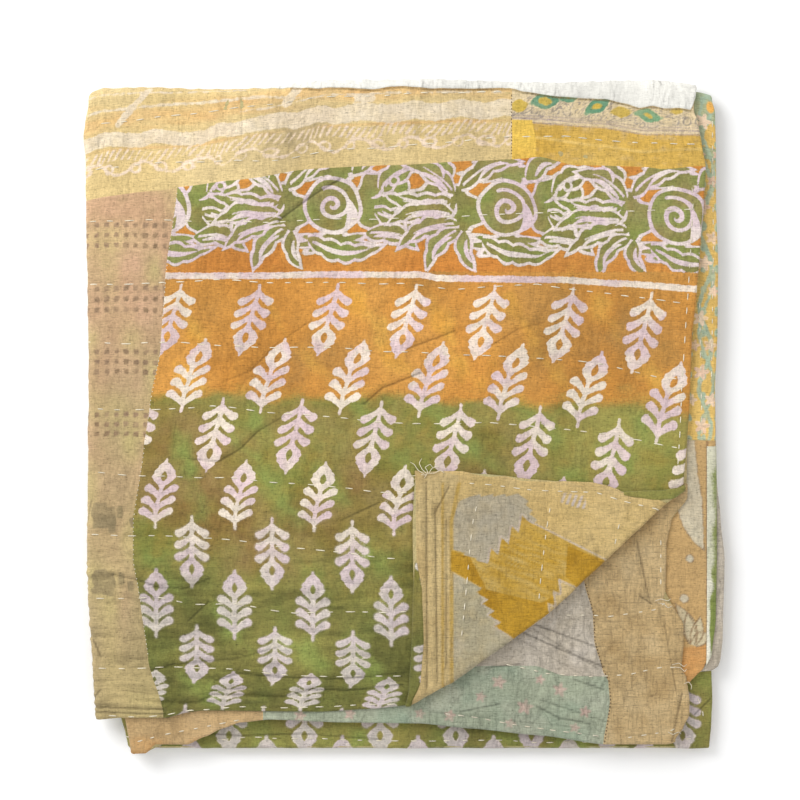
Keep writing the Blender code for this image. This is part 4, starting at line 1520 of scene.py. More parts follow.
def corner_marks(right, down):
    """The marks of the turned corner's woven cloth."""
    mustard = polygon(right, down, MUSTARD_SHAPE)
    dark = nearest(polygon(right, down, shape) for shape in DARK_SHAPES)
    streak = soft_noise((right + 0.35 * down) / 17, (down - 0.35 * right) / 2.2, 92)
    straight = np.abs(right - 442.5) - 1.3
    leaning = np.abs(right - 451.5 - np.maximum(520 - down, 0) * 0.2) - 1.9
    check = np.maximum(polygon(right, down, CHECK_SHAPE), 1.6 - np.abs((right + 0.4 * down) % 6 - 3))
    return {
        "grey": cover(polygon(right, down, GREY_SHAPE)),
        "pale": cover(polygon(right, down, PALE_SHAPE)),
        "mustard": cover(mustard),
        "edge": cover(np.maximum(np.abs(mustard - 1.2) - 1.1, 480 - right)),
        "streak": np.minimum(cover(mustard), 0.42 + 0.5 * streak),
        "dark": cover(np.maximum(dark, mustard)),
        "stripes": cover(np.maximum(np.minimum(straight, leaning), 482 - down)),
        "tan": cover(polygon(right, down, TAN_SHAPE)),
        "check": cover(check),
        "ghost": 0.5 + 0.35 * soft_noise(right / 16, down / 22, 93) + 0.35 * streak,
    }


def flowers(right, down, rows, seed):
    """Distance outside five-petalled blossoms: (right, down, radius). The seed turns their petals."""
    def flower(x, y, radius):
        angle = np.arctan2(down - y, right - x)
        return np.hypot(right - x, down - y) - radius * (0.78 + 0.28 * np.cos(5 * angle + seed))

    return nearest(flower(*row) for row in rows)


# Blossoms of the second layer: (right, down, radius).
LILAC_FLOWERS = (
    (499, 682, 7), (481, 697, 5), (525, 707, 8), (560, 690, 7), (585, 712, 6), (540, 680, 5),
    (450, 716, 6), (420, 714, 5), (350, 714, 6), (300, 716, 6), (510, 724, 5), (575, 728, 5),
)


def pale_marks(right, down):
    """The marks of the faded cloth of the second layer."""
    petals = flowers(right, down, LILAC_FLOWERS, 0.5)
    return {
        "flowers": cover(petals + speckle(right, down, 0.8, 3, 95)),
        "patch": 0.5 + 0.6 * soft_noise(right / 24, down / 16, 96),
    }


# Blossoms of the strip at the right: (right, down, radius).
BLOSSOMS = (
    (704, 118, 8), (699, 152, 7), (713, 178, 6), (703, 205, 8), (713, 236, 7), (705, 262, 8),
    (714, 290, 6), (701, 318, 8), (711, 345, 7), (702, 372, 8), (712, 400, 7), (703, 426, 8),
    (694, 240, 6), (695, 345, 6), (692, 400, 6), (718, 150, 5),
)


def floral_marks(right, down):
    """The marks of the flowered strip at the right."""
    branch = np.abs(right - 706 - 6 * np.sin(down / 13.0)) - 2.2
    branch = np.minimum(branch, np.abs(right - 707 + 7 * np.sin(down / 17.0 + 1)) - 1.8)
    leaves = np.hypot((right - 697) % 14 - 7, (down * 0.7) % 15 - 7.5) - 3.0
    oval = (np.hypot((right - 711) / 4, (down - 102) / 6) - 1) * 4
    return {
        "branch": cover(np.minimum(branch, leaves) + speckle(right, down, 0.8, 3, 97)),
        "blossom": cover(flowers(right, down, BLOSSOMS, 0.3)),
        "teal": cover(np.minimum(down - 118, np.abs(down - 150) - 6)),
        "oval": cover(oval),
    }


# The peach patch: corners of its long drop, dots as (right, down, radius), and petals as leaves.
PEACH_DROP = [
    (686, 430), (695, 430), (698, 470), (703, 500), (705, 551), (695, 543), (684, 528), (677.5, 508),
    (680, 488), (685, 464),
]
PEACH_DOTS = ((690.8, 559, 4), (685, 599, 4.4))
PEACH_PETALS = (
    (694, 645, 676, 604, 7.5, 3, 1), (694, 645, 688, 612, 5.5, -1, 1), (694, 645, 701, 617, 6.0, 1, 1),
    (694, 645, 713, 636, 6.5, -2, 1),
)


def peach_marks(right, down):
    """The marks of the peach patch at the right."""
    drop = polygon(right, down, PEACH_DROP)
    for x, y, radius in PEACH_DOTS:
        drop = np.minimum(drop, np.hypot(right - x, down - y) - radius)
    petals = [leaf(right, down, row)[0] for row in PEACH_PETALS]
    rims = nearest(np.abs(petal) - 0.7 for petal in petals)
    return {
        "drops": cover(drop + speckle(right, down, 0.7, 3, 98)),
        "petals": cover(nearest(petals)),
        "rims": cover(np.minimum(rims, np.abs(drop) - 0.5)),
        "orange": cover(np.maximum(646 - down, 680 - right) + speckle(right, down, 3, 9, 99)),
        "dark": cover(np.abs(right - 708) - 1.2),
    }


def frayed_marks(right, down):
    """The marks of the frayed green and cream strip beside the peach patch."""
    fresh = 0.5 * soft_noise(right / 6, down / 14, 105) - np.clip((right - 712) / 10, -1, 1)
    held = np.exp(-((down - 632) / 40) ** 2)
    return {"ghost": 0.75 + 0.8 * fresh - 0.9 * held * np.clip((right - 708) / 6, 0, 1)}


# Steps between the sprigs of the lower prints, across them and down them.
LOW_PITCH = 76
UNDER_PITCH = (78, 114)


def bottom_marks(right, down):
    """The marks of the print that shows under the bottom hem."""
    facing_up = sprig((right - 190) % LOW_PITCH - LOW_PITCH / 2, down - 684)
    facing_down = sprig((right - 152) % LOW_PITCH - LOW_PITCH / 2, 809 - down)
    shape = np.minimum(facing_up, facing_down)
    return {
        "print": cover(shape + speckle(right, down, 0.5, 3, 76)),
        "green": np.full_like(right, 1.0),
        "brown": 0.5 + dyed(right, down, ()),
        "ghost": np.full_like(right, 0.0),
        "fresh": 0.35 + 0.5 * soft_noise(right / 20, down / 20, 101),
        "deep": 0.6 + 0.4 * soft_noise(right / 50, down / 40, 94),
        "dull": cover(shape),
        "light": 0.25 + 0.3 * soft_noise(right / 30, down / 12, 97),
    }


def under_marks(right, down):
    """The marks of the print on the underside, in rows that face up and down by turns."""
    marks = bottom_marks(right, down)
    step_x, step_y = UNDER_PITCH
    shape = np.full_like(right, 9.0)
    for share, way in ((0, 1), (0.5, -1)):
        across = (right - 196 - share * step_x) % step_x - step_x / 2
        up = (down - 22 - share * step_y) % step_y - 20
        shape = np.minimum(shape, sprig(across, 36 + way * (up - 36)))
    marks["print"] = cover(shape + speckle(right, down, 0.5, 3, 76))
    marks["dull"] = marks["print"] - 0.3
    return marks


def plain_marks(right, down):
    """The marks of a cloth with faint ghost shapes only."""
    return {
        "ghost": 0.5 + 0.6 * soft_noise(right / 18, down / 12, 103),
        "tawny": np.clip((down - 738) / 20 + 0.5 * soft_noise(right / 20, down / 10, 104), -1, 2),
    }


# The cloths. Layers that several printed grounds share come first.
GROUND_GHOST = ("ghost", (226, 172, 80), (214, 154, 62), 0.30, 0.34)
GROUND_GREEN = ("green", (126, 126, 58), (144, 138, 74), 0.15, 0.42)
GROUND_FRESH = ("fresh", (136, 150, 78), (130, 142, 70), 0.30, 0.60)
GROUND_DEEP = ("deep", (104, 104, 52), (118, 114, 60), 0.15, 0.42)
GROUND_LIGHT = ("light", (172, 162, 88), (160, 152, 80), 0.25, 0.60)
GROUND_BROWN = ("brown", (136, 108, 58), (146, 120, 74), 0.35, 0.55)
PRINT_COTTON = cloth("print_cotton", (202, 138, 60), (212, 152, 74), (
    GROUND_GHOST, GROUND_GREEN, GROUND_BROWN, GROUND_DEEP, GROUND_LIGHT, GROUND_FRESH,
    ("print", (232, 218, 200), (216, 192, 194), 0.12, 0.14),
    ("dull", (192, 184, 174), (198, 186, 184), 0.25, 0.50),
))
SCROLL_COTTON = cloth("scroll_cotton", (194, 126, 56), (206, 142, 68), (
    GROUND_GHOST,
    ("scroll", (132, 128, 72), (146, 138, 86), 0.10, 0.14),
    ("fresh", (130, 140, 70), (138, 146, 82), 0.35, 0.40),
    ("print", (230, 216, 208), (216, 194, 200), 0.10, 0.14),
))
STRIP_COTTON = cloth("strip_cotton", (168, 150, 106), (178, 158, 116), (
    ("pink", (202, 164, 132), (192, 156, 122), 0.20, 0.60),
    ("ghost", (186, 170, 116), (194, 174, 122), 0.40, 0.40),
    ("squares", (140, 116, 88), (152, 126, 100), 0.45, 0.22),
    ("vases", (150, 134, 98), (142, 126, 94), 0.40, 0.22),
), bright=1.02)
CREAM_COTTON = cloth("cream_cotton", (214, 188, 130), (220, 196, 142), (
    ("peach", (224, 180, 116), (220, 176, 118), 0.30, 0.50),
    ("grey", (178, 160, 122), (170, 152, 116), 0.30, 0.60),
    ("scroll", (232, 210, 186), (228, 204, 176), 0.12, 0.26),
    ("pale", (226, 210, 182), (218, 200, 172), 0.25, 0.22),
    # Painted shadow under the white patch's torn edge.
    ("hem", (118, 92, 52), (140, 112, 66), 0.30, 0.30),
), bright=1.02)
BORDER_COTTON = cloth("border_cotton", (200, 160, 70), (212, 176, 92), (
    # Painted highlight along a wrinkle across the border.
    ("stripe", (224, 190, 112), (214, 180, 100), 0.35, 0.35),
    ("cream", (226, 206, 168), (216, 196, 156), 0.12, 0.22),
    ("shade", (184, 168, 144), (192, 176, 150), 0.40, 0.45),
    ("pearls", (150, 140, 130), (160, 148, 134), 0.15, 0.22),
    ("teal", (98, 146, 116), (120, 156, 118), 0.15, 0.20),
    ("yellow", (206, 176, 78), (196, 168, 84), 0.15, 0.20),
    ("lines", (164, 146, 142), (176, 156, 140), 0.30, 0.22),
    ("block", (230, 192, 88), (224, 184, 84), 0.10, 0.20),
    # Painted shadow under the white patch's torn edge.
    ("hem", (104, 92, 56), (130, 108, 66), 0.30, 0.30),
))
WHITE_COTTON = cloth("white_cotton", (232, 230, 222), (222, 220, 212), thread=0.3, crinkle=0.9,
                     crinkle_shade=0.10, bright=1.04, lattice=0.02, grain=0.45)
CORNER_COTTON = cloth("corner_cotton", (206, 176, 114), (214, 186, 128), (
    ("ghost", (192, 166, 108), (206, 180, 126), 0.40, 0.50),
    ("tan", (192, 166, 114), (204, 180, 128), 0.25, 0.30),
    ("grey", (184, 172, 146), (176, 166, 144), 0.15, 0.25),
    ("pale", (178, 168, 138), (190, 180, 154), 0.25, 0.25),
    ("stripes", (198, 164, 84), (190, 158, 88), 0.30, 0.30),
    ("check", (206, 192, 182), (198, 184, 172), 0.40, 0.30),
    ("edge", (204, 190, 172), (196, 178, 160), 0.40, 0.22),
    ("mustard", (190, 150, 54), (200, 160, 64), 0.10, 0.20),
    ("streak", (202, 172, 100), (192, 160, 84), 0.20, 0.40),
    ("dark", (178, 134, 34), (192, 148, 44), 0.10, 0.25),
), thread=0.8, lattice=0.14)
PALE_COTTON = cloth("pale_cotton", (188, 176, 158), (194, 184, 168), (
    ("patch", (180, 168, 148), (200, 190, 176), 0.40, 0.60),
    ("flowers", (204, 176, 166), (208, 184, 172), 0.50, 0.40),
), lattice=0.12, crinkle=0.9, crinkle_shade=0.2)
BLUE_GREEN_COTTON = cloth("blue_green_cotton", (158, 166, 142), (168, 174, 150), (
    ("patch", (148, 162, 140), (178, 182, 160), 0.40, 0.60),
    ("flowers", (196, 168, 154), (192, 172, 156), 0.40, 0.45),
), lattice=0.12, crinkle=0.9, crinkle_shade=0.2)
GAUZE = cloth("gauze", (198, 168, 118), (204, 176, 128), (
    ("ghost", (184, 154, 106), (210, 184, 138), 0.40, 0.60),
), thread=1.0, crinkle=0.6, crinkle_shade=0.14, lattice=0.20)
TAN_COTTON = cloth("tan_cotton", (192, 162, 116), (202, 172, 128), (
    ("ghost", (178, 148, 104), (200, 168, 120), 0.40, 0.60),
    ("tawny", (198, 142, 80), (206, 154, 92), 0.35, 0.50),
))
FLORAL_COTTON = cloth("floral_cotton", (214, 180, 104), (206, 170, 94), (
    ("teal", (158, 170, 138), (148, 166, 138), 0.25, 0.30),
    ("branch", (156, 174, 150), (164, 178, 152), 0.25, 0.22),
    ("blossom", (222, 196, 168), (218, 184, 158), 0.30, 0.22),
    ("oval", (224, 170, 84), (214, 156, 78), 0.15, 0.20),
), bright=1.12)
PEACH_COTTON = cloth("peach_cotton", (190, 156, 104), (198, 164, 112), (
    ("orange", (196, 144, 86), (202, 152, 92), 0.25, 0.50),
    ("drops", (204, 194, 168), (198, 186, 160), 0.15, 0.20),
    ("petals", (198, 184, 150), (190, 174, 142), 0.15, 0.20),
    ("rims", (134, 108, 78), (150, 122, 90), 0.25, 0.25),
    ("dark", (126, 98, 70), (138, 108, 78), 0.25, 0.25),
))
GREEN_COTTON = cloth("green_cotton", (124, 136, 70), (146, 152, 92), (
    ("ghost", (220, 216, 198), (206, 204, 178), 0.15, 0.25),
))
THREAD_COTTON = cloth("thread_cotton", (236, 228, 206), (226, 216, 192), crinkle=0.1, lattice=0.0)


# Seams, torn edges and the ends of the cloth past the folds, in view millimetres. Tables named LEFT,
# RIGHT or GAUZE hold (down, right), all others (right, down).
SEAM_LEFT = (
    (160, 177), (187, 177), (275, 165), (350, 160), (400, 150), (460, 142), (520, 133),
    (560, 133), (600, 140), (660, 148), (712, 163), (760, 166),
)
SEAM_TOP = (
    (80, 197), (86, 196), (160, 188), (177, 185), (230, 178), (300, 170), (400, 167),
    (480, 162), (510, 160), (541, 157), (573, 165), (597, 166), (643, 168), (661, 170), (706, 164),
)
LEFT_WRAP = ((60, 77), (300, 77.5), (450, 75.5), (620, 77.5), (720, 83))
LEFT_WRAP_SECOND = ((690, 108), (755, 119))
LEFT_WRAP_FIFTH = ((640, 95), (668, 96.6), (748, 118))
TOP_WRAP = 62.0
SCROLL_END = 273.0
KEEP_BEFORE_BEND = -1.5
WHITE_LOW = (
    (252, 79), (270, 84), (291, 87), (318, 91.5), (341, 91), (372, 93), (400, 90.5), (430, 92.5),
    (480, 91.5), (510, 90), (523, 93), (560, 97.5), (587, 100), (605, 101), (623, 105.5),
    (640, 110.5), (652, 108.5), (664, 110.5), (680, 108.5), (691, 109.5), (695, 98), (698, 90),
)
SEAM_GAUZE = (
    (480, 575), (560, 578), (583, 586), (614.5, 594.5), (641, 595.7), (670, 604), (682, 610),
    (702, 611.5), (745, 605),
)
SEAM_BLUE = ((264, 680), (400, 672), (486, 665), (535, 665), (564, 675), (612, 676))
SEAM_PEACH = ((640, 440), (690, 440), (720, 442))
FOLD_LINE = (
    (404, 709), (410, 705), (453, 682), (498, 652), (543, 617), (604, 561), (640, 527),
    (665, 504), (676, 496), (690, 486),
)


def level(value):
    """A table with one value all the way across the view."""
    return ((0.0, value), (VIEW, value))


def moved(rows, step):
    """A table with its values all moved by a step."""
    return tuple((key, value + step) for key, value in rows)


def before_bend(right, down):
    """Whether a place on the top layer comes before the turned corner's bend."""
    return flap_reach(right, down) < KEEP_BEFORE_BEND


def near_turn(right, down):
    """Whether a place on the second layer shows beside the turned corner."""
    return flap_reach(right, down) > -20


core, core_flat, core_area = inner_sheet("inner_quilt")
CORE_COTTON = cloth("core_cotton", (198, 176, 122), (176, 170, 122), blotch=6.0)
settle(core, CORE_COTTON)

patch("printed_field", "top", SEAM_LEFT, HEM_RIGHT_TOP, level(SCROLL_END - 1), HEM_LOW_TOP, 1.75,
      top_face, PRINT_COTTON, field_marks, tucked="l", hemmed="rb", keep=before_bend)
patch("scroll_border", "top", SEAM_LEFT, HEM_RIGHT_TOP, SEAM_TOP, level(SCROLL_END), 1.05,
      top_face, SCROLL_COTTON, band_marks, tucked="lt", hemmed="r")
patch("left_strip", "top", LEFT_WRAP, moved(SEAM_LEFT, 3), SEAM_TOP, HEM_LOW_TOP, 1.6,
      top_face, STRIP_COTTON, strip_marks, tucked="rt", hemmed="b", lift=-0.35)
patch("cream_patch", "top", LEFT_WRAP, level(514), level(TOP_WRAP), moved(SEAM_TOP, 3), 1.5,
      top_face, CREAM_COTTON, cream_marks, tucked="rb", lift=-0.45)
patch("border_patch", "top", level(511), HEM_RIGHT_TOP, level(TOP_WRAP), moved(SEAM_TOP, 3), 1.1,
      top_face, BORDER_COTTON, border_marks, tucked="lb", hemmed="r", lift=-0.30)
WHITE_RIGHT = ((60, 697), (84, 697.5), (93, 696), (104, 694), (112, 692.5))
patch("white_patch", "top", level(252), WHITE_RIGHT, level(TOP_WRAP), WHITE_LOW, 1.3,
      top_face, WHITE_COTTON, tucked="lb", hemmed="r", lift=0.45)

CORNER_LEFT = ((466, 414.5), (480, 415), (560, 416), (640, 415), (690, 411), (706, 409))
CORNER_TOP = (
    (404, 471), (417, 470.5), (424, 471.5), (440, 471), (461, 471), (475, 473.5), (488, 476),
    (505, 475.5), (522, 480), (543, 481), (563, 481), (590, 482), (604, 484.5), (616, 488.5),
    (626, 494), (643, 495), (655, 499), (667, 502.5), (674, 497), (690, 485),
)
GREEN_ROLL_TOP = ((622, 491.5), (640, 490.5), (660, 490), (675, 488), (688, 484))
GREEN_ROLL_LOW = ((622, 495), (636, 498), (655, 500.5), (672, 499), (688, 489))
patch("green_roll", "flap", level(623), level(685), GREEN_ROLL_TOP, GREEN_ROLL_LOW, 1.3,
      flap_face, PRINT_COTTON, bottom_marks, tucked="", hemmed="lrtb", lift=0.9)
ROLL_LEFT = ((560, 414.5), (600, 412.5), (640, 411.5), (690, 408.5), (708, 405))
ROLL_RIGHT = ((560, 417), (590, 423), (640, 425), (680, 422), (708, 410))
patch("rolled_hem", "flap", ROLL_LEFT, ROLL_RIGHT, level(562), level(706), 1.3,
      flap_face, PRINT_COTTON, field_marks, tucked="", hemmed="lrtb", lift=0.5)
patch("turned_corner", "flap", CORNER_LEFT, level(686), CORNER_TOP, moved(FOLD_LINE, 4), 1.4,
      flap_face, CORNER_COTTON, corner_marks, tucked="", hemmed="lt")

patch("pale_patch", "second", level(395), SEAM_GAUZE, level(560), moved(SEAM_BLUE, 2), 1.6,
      second_face, PALE_COTTON, pale_marks, tucked="rb", keep=near_turn)
patch("blue_green_patch", "second", level(262), SEAM_GAUZE, SEAM_BLUE, HEM_LOW_SECOND, 1.6,
      second_face, BLUE_GREEN_COTTON, pale_marks, tucked="lrt", hemmed="b")
patch("gauze_patch", "second", moved(SEAM_GAUZE, -2), HEM_RIGHT_SECOND, level(484), HEM_LOW_SECOND,
      1.5, second_face, GAUZE, plain_marks, tucked="l", hemmed="rb", lift=0.25, keep=near_turn)
patch("tan_patch", "second", LEFT_WRAP_SECOND, level(264), level(692), HEM_LOW_SECOND, 1.5,
      second_face, TAN_COTTON, plain_marks, tucked="r", hemmed="b")

patch("flowered_strip", "third", level(664), HEM_RIGHT_THIRD, level(TOP_WRAP), SEAM_PEACH, 1.3,
      lower_face, FLORAL_COTTON, floral_marks, tucked="b", hemmed="r")
patch("peach_patch", "third", level(640), HEM_RIGHT_THIRD, level(440), HEM_LOW_THIRD, 1.4,
      lower_face, PEACH_COTTON, peach_marks, tucked="t", hemmed="rb")
patch("green_strip", "third", level(707), moved(HEM_RIGHT_THIRD, 0.8), level(446), level(668), 1.3,
      lower_face, GREEN_COTTON, frayed_marks, tucked="ltb", hemmed="r", lift=0.35)
patch("grey_edge", "fourth", level(690), HEM_RIGHT_FOURTH, level(94), HEM_LOW_FOURTH, 2.0,
      lower_face, PALE_COTTON, pale_marks, tucked="", hemmed="rb")
patch("bottom_print", "fifth", LEFT_WRAP_FIFTH, HEM_RIGHT_FIFTH, level(650), level(752), 1.6,
      lower_face, PRINT_COTTON, bottom_marks, tucked="", hemmed="r")

UNDER_LEFT = ((94, 77), (418, 77), (680, 96), (752, 118))
patch("under_tan", "eighth", UNDER_LEFT, level(250), level(96), level(752), 3.0,
      under_face, TAN_COTTON, plain_marks, tucked="r")
patch("under_print", "eighth", level(250), level(560), level(96), level(752), 2.2,
      under_face, PRINT_COTTON, under_marks, tucked="lr")
patch("under_gauze", "eighth", level(560), HEM_RIGHT_EIGHTH, level(96), level(752), 3.0,
      under_face, GAUZE, plain_marks, tucked="l", hemmed="r")

# Thread: its radius in millimetres, its sides, the rings of one stitch, its height for its width and
# its width at an end. Then how far a stitch arches out and sinks in, for its radius, and how much the
# stitches' lengths and steps differ.
THREAD_RADIUS = 0.56
THREAD_SIDES = 6
THREAD_RINGS = 5
THREAD_FLATNESS = 0.7
THREAD_END = 0.45
STITCH_ARCH = 1.3
STITCH_SINK = 0.45
LENGTH_RANGE = (0.72, 1.2)
STEP_RANGE = (0.86, 1.14)


def along_points(points, step):
    """Places at even steps along a line of points, with the run of each."""
    points = np.array(points, float)
    spans = np.hypot(*np.diff(points, axis=0).T)
    run = np.concatenate([[0], np.cumsum(spans)])
    at = np.arange(0, run[-1], step)
    return np.interp(at, run, points[:, 0]), np.interp(at, run, points[:, 1]), at


def thread_tube(verts, faces, layer, right, down, out, radius):
    """Adds one length of thread through places in the view, thin at its ends."""
    rings = len(right)
    lead = np.array([np.gradient(right), np.gradient(down)])
    lead = lead / np.hypot(*lead)
    swell = np.sin(np.linspace(0.25, math.pi - 0.25, rings))
    thick = radius * (THREAD_END + (1 - THREAD_END) * swell)
    first = len(verts)
    for k in range(THREAD_SIDES):
        turn = 2 * math.pi * k / THREAD_SIDES
        side_x = right - lead[1] * math.cos(turn) * thick
        side_y = down + lead[0] * math.cos(turn) * thick
        x, length = sheet_place(layer, side_x, side_y)
        up = out + math.sin(turn) * thick * THREAD_FLATNESS
        verts.extend(folded(x, length, SIDES[layer] * up * MM))
    for k in range(THREAD_SIDES):
        after = (k + 1) % THREAD_SIDES
        for j in range(rings - 1):
            a = first + k * rings + j
            b = first + after * rings + j
            faces.append((a, b, b + 1, a + 1))
    faces.append([first + k * rings for k in reversed(range(THREAD_SIDES))])
    faces.append([first + (k + 1) * rings - 1 for k in range(THREAD_SIDES)])


def thread_object(name, verts, faces, material):
    """Makes one piece of many threads."""
    mesh = bpy.data.meshes.new(name)
    mesh.from_pydata([tuple(vert) for vert in verts], [], faces)
    build = bmesh.new()
    build.from_mesh(mesh)
    bmesh.ops.recalc_face_normals(build, faces=build.faces[:])
    build.to_mesh(mesh)
    build.free()
    piece = cloth_object(name, mesh, np.array(verts)[:, :2])
    dress(piece, material)


def stitch_piece(name, layer, rows, face, pitch, size, seed, radius=THREAD_RADIUS, wander=1.1,
                 material=THREAD_COTTON):
    """Running stitches along rows, each one a short length of thread that dips at its ends.

    pitch is the step from stitch to stitch, size a stitch's length and wander how far a row strays
    from its line, all in millimetres.
    """
    verts = []
    faces = []
    random = np.random.default_rng(seed)
    for row in rows:
        fine_x, fine_y, run = along_points(row, 1.0)
        moved_y = fine_y + wander * soft_noise(run / 37.0, run * 0, seed)
        start = random.uniform(0, pitch)
        while start + size < run[-1]:
            long = size * random.uniform(*LENGTH_RANGE)
            at = start + np.linspace(0, 1, THREAD_RINGS) * long
            right = np.interp(at, run, fine_x)
            down = np.interp(at, run, moved_y)
            arch = STITCH_ARCH * np.sin(np.linspace(0, math.pi, THREAD_RINGS))
            out = face(right, down) + radius * (arch - STITCH_SINK)
            thread_tube(verts, faces, layer, right, down, out, radius)
            start += pitch * random.uniform(*STEP_RANGE)
    thread_object(name, verts, faces, material)


# How much lower than the printed field the patches beside it lie, in millimetres.
PATCH_STEP = 0.36


def stitched_face(right, down):
    """Height of the face that the quilting passes through, in millimetres."""
    beside = (right < between(SEAM_LEFT, down)) | (down < between(SEAM_TOP, right))
    return top_face(right, down) - np.where(beside, PATCH_STEP, 0.0)


# Rows of stitches on the other layers, in view millimetres: (right, down) points.
SECOND_ROWS = (
    ((661, 530), (661, 600)),
    ((560, 614), (610, 617), (655, 610), (670, 600)),
    ((500, 662), (545, 674), (590, 677), (630, 675), (665, 667), (680, 668)),
    ((440, 712), (520, 726), (600, 737)),
    ((620, 738), (668, 733), (686, 724)),
    ((132, 742), (160, 736), (200, 728), (250, 718)),
)
THIRD_ROWS = (
    ((713, 110), (714, 250), (712, 390)),
    ((700, 300), (703, 440)),
)
FIFTH_ROWS = (
    ((206, 742), (260, 739), (330, 741), (420, 742), (520, 743), (600, 744), (704, 741)),
    ((696, 690), (704, 712), (706, 732)),
)
UNDER_ROWS = [
    ((98, low), (260, low + 4), (470, low - 3), (688, low + 2)) for low in range(128, 740, 61)
]
HEM_ROWS = (
    ((690, 175), (693, 200), (688, 290), (682, 380), (679, 470)),
)


def raised_seam(right, down):
    """Height of the overcast seams on the top layer, in millimetres."""
    return top_face(right, down) - 0.1


def gauze_seam(right, down):
    """Height of the overcast seam of the gauze patch, in millimetres."""
    return second_face(right, down) + 0.30


# Rows of very short overcast stitches along three seams, with dark thread on the last two.
LEFT_SEAM_ROW = [(right + 0.8, down) for down, right in SEAM_LEFT if 187 <= down <= 660]
BORDER_SEAM_ROW = [(511.5, 96), (511.5, 159)]
GAUZE_SEAM_ROW = [(right - 0.6, down) for down, right in SEAM_GAUZE if 583 <= down <= 745]
DARK_THREAD = cloth("dark_thread", (92, 76, 58), (112, 92, 70), crinkle=0.1)

# Stitching: (piece, layer, rows, face, step, stitch length, seed), and for some of them also the
# thread's radius, how far a row strays from its line, and the thread.
STITCHING = (
    ("quilting_stitches", "top", STITCH_ROWS, stitched_face, STITCH_PITCH, STITCH_LENGTH, 5),
    ("corner_stitches", "flap", FLAP_ROWS, flap_face, 14.0, 6.5, 6),
    ("second_stitches", "second", SECOND_ROWS, second_face, 14.0, 6.0, 7),
    ("third_stitches", "third", THIRD_ROWS, lower_face, 13.0, 6.0, 8),
    ("bottom_stitches", "fifth", FIFTH_ROWS, lower_face, 17.0, 6.5, 13),
    ("under_stitches", "eighth", UNDER_ROWS, under_face, STITCH_PITCH, 8.0, 14),
    ("hem_stitches", "top", HEM_ROWS, top_face, 15.0, 6.5, 9),
    ("seam_stitches", "top", [LEFT_SEAM_ROW], raised_seam, 4.6, 1.6, 10, 0.42, 0.4),
    ("border_seam_stitches", "top", [BORDER_SEAM_ROW], raised_seam, 3.4, 1.5, 11, 0.38, 0.3, DARK_THREAD),
    ("gauze_seam_stitches", "second", [GAUZE_SEAM_ROW], gauze_seam, 3.6, 1.7, 12, 0.5, 0.3, DARK_THREAD),
)
for stitching in STITCHING:
    stitch_piece(*stitching)

# Loose ends of thread: (layer, rise at the start, rise at the end, places in the view).
LOOSE_THREADS = (
    ("top", 3.9, 1.0, ((427, 474), (422, 469), (419, 463), (422, 458))),
    ("top", 4.0, 1.2, ((428, 474), (432, 468), (437, 466), (441, 468))),
    ("top", 3.8, 0.9, ((426, 475), (418, 470), (414, 464), (410, 462))),
    ("top", 4.1, 3.2, ((428, 473), (434, 473), (440, 470), (445, 473))),
    ("top", 3.9, 1.1, ((425, 475), (419, 474), (413, 476), (409, 474))),
    ("top", 4.2, 3.6, ((424, 478), (428, 472), (425, 467), (430, 464), (434, 469))),
    ("second", 0.9, 0.8, ((655, 601), (661, 599), (668, 601), (672, 598))),
    ("second", 0.9, 0.7, ((658, 603), (664, 604), (668, 608), (672, 606))),
    ("second", 0.9, 0.7, ((672, 665), (679, 663), (684, 667), (688, 664))),
    ("second", 0.9, 0.6, ((674, 667), (681, 668), (685, 672), (687, 669))),
    ("second", 0.9, 0.6, ((684, 684), (689, 682), (692, 686), (691, 691))),
    ("second", 0.9, 0.8, ((668, 732), (673, 735), (679, 732), (682, 735))),
)
LOOSE_RADIUS = 0.34
loose_verts = []
loose_faces = []
for thread_layer, rise_start, rise_end, thread_places in LOOSE_THREADS:
    thread_face = top_face if thread_layer == "top" else second_face
    thread_x, thread_y, _ = along_points(thread_places, 1.6)
    thread_rise = np.linspace(rise_start, rise_end, len(thread_x))
    thread_out = thread_face(thread_x, thread_y) + thread_rise
    thread_tube(loose_verts, loose_faces, thread_layer, thread_x, thread_y, thread_out, LOOSE_RADIUS)
thread_object("loose_threads", loose_verts, loose_faces, THREAD_COTTON)

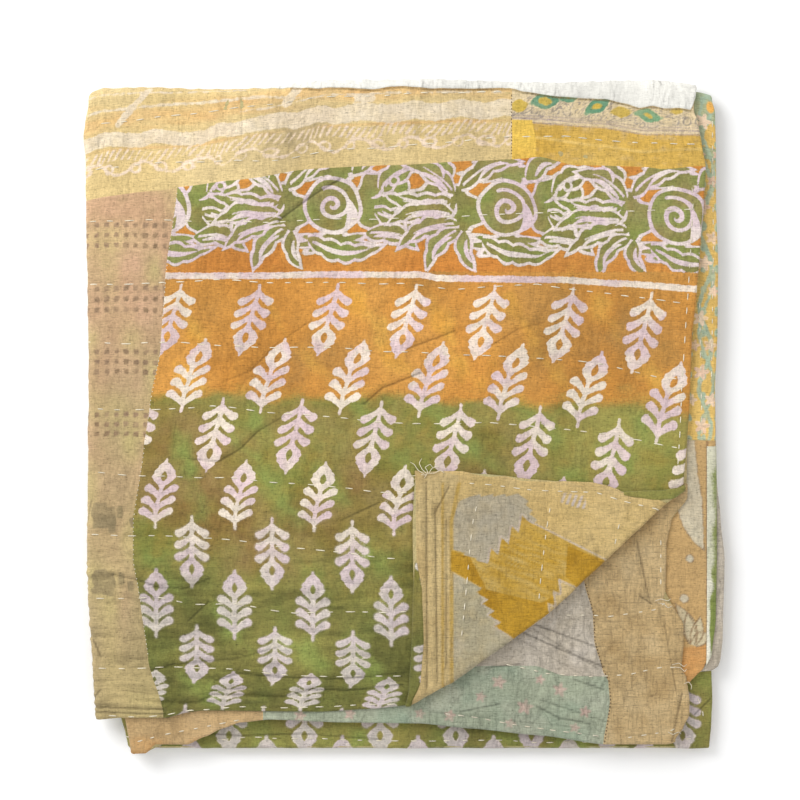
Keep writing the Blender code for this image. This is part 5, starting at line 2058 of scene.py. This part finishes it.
# The pale floor, the soft light and the camera straight above: metres, watts and degrees, and the
# camera's sensor in millimetres.
FLOOR_DROP = 0.0020
FLOOR_SIZE = 8.0
FLOOR_WHITE = 0.98
LAMP_WATTS = 34.0
LAMP_SIZE = 1.3
LAMP_PLACE = (-1.3, 1.2, 1.5)
LAMP_TURN = (-41, -40, 0)
WORLD_STRENGTH = 0.85
SENSOR_WIDTH = 36.0
FOCUS_HEIGHT = 0.024

bpy.ops.mesh.primitive_plane_add(size=FLOOR_SIZE, location=(0.0, 0.0, -FLOOR_DROP))
floor = bpy.context.object
floor.name = "floor"
floor_paint = bpy.data.materials.new("floor_paint")
floor_paint.use_nodes = True
floor_shader = floor_paint.node_tree.nodes["Principled BSDF"]
floor_shader.inputs["Base Color"].default_value = (FLOOR_WHITE, FLOOR_WHITE, FLOOR_WHITE, 1.0)
floor_shader.inputs["Roughness"].default_value = 0.9
floor.data.materials.append(floor_paint)

lamp_data = bpy.data.lights.new("soft_window", "AREA")
lamp_data.energy = LAMP_WATTS
lamp_data.size = LAMP_SIZE
lamp = bpy.data.objects.new("soft_window", lamp_data)
lamp.location = LAMP_PLACE
lamp.rotation_euler = [math.radians(turn) for turn in LAMP_TURN]
bpy.context.scene.collection.objects.link(lamp)

world = bpy.data.worlds.new("studio")
world.use_nodes = True
sky = world.node_tree.nodes["Background"]
sky.inputs["Color"].default_value = (1.0, 1.0, 1.0, 1.0)
sky.inputs["Strength"].default_value = WORLD_STRENGTH
bpy.context.scene.world = world
bpy.context.scene.view_settings.view_transform = "Standard"

camera_data = bpy.data.cameras.new("camera")
camera_data.sensor_width = SENSOR_WIDTH
camera_data.lens = SENSOR_WIDTH * (CAMERA_HEIGHT - FOCUS_HEIGHT) / (VIEW * MM)
camera = bpy.data.objects.new("camera", camera_data)
camera.location = (CORNER_X + VIEW * MM / 2, CORNER_Y - VIEW * MM / 2, CAMERA_HEIGHT)
bpy.context.scene.collection.objects.link(camera)
bpy.context.scene.camera = camera
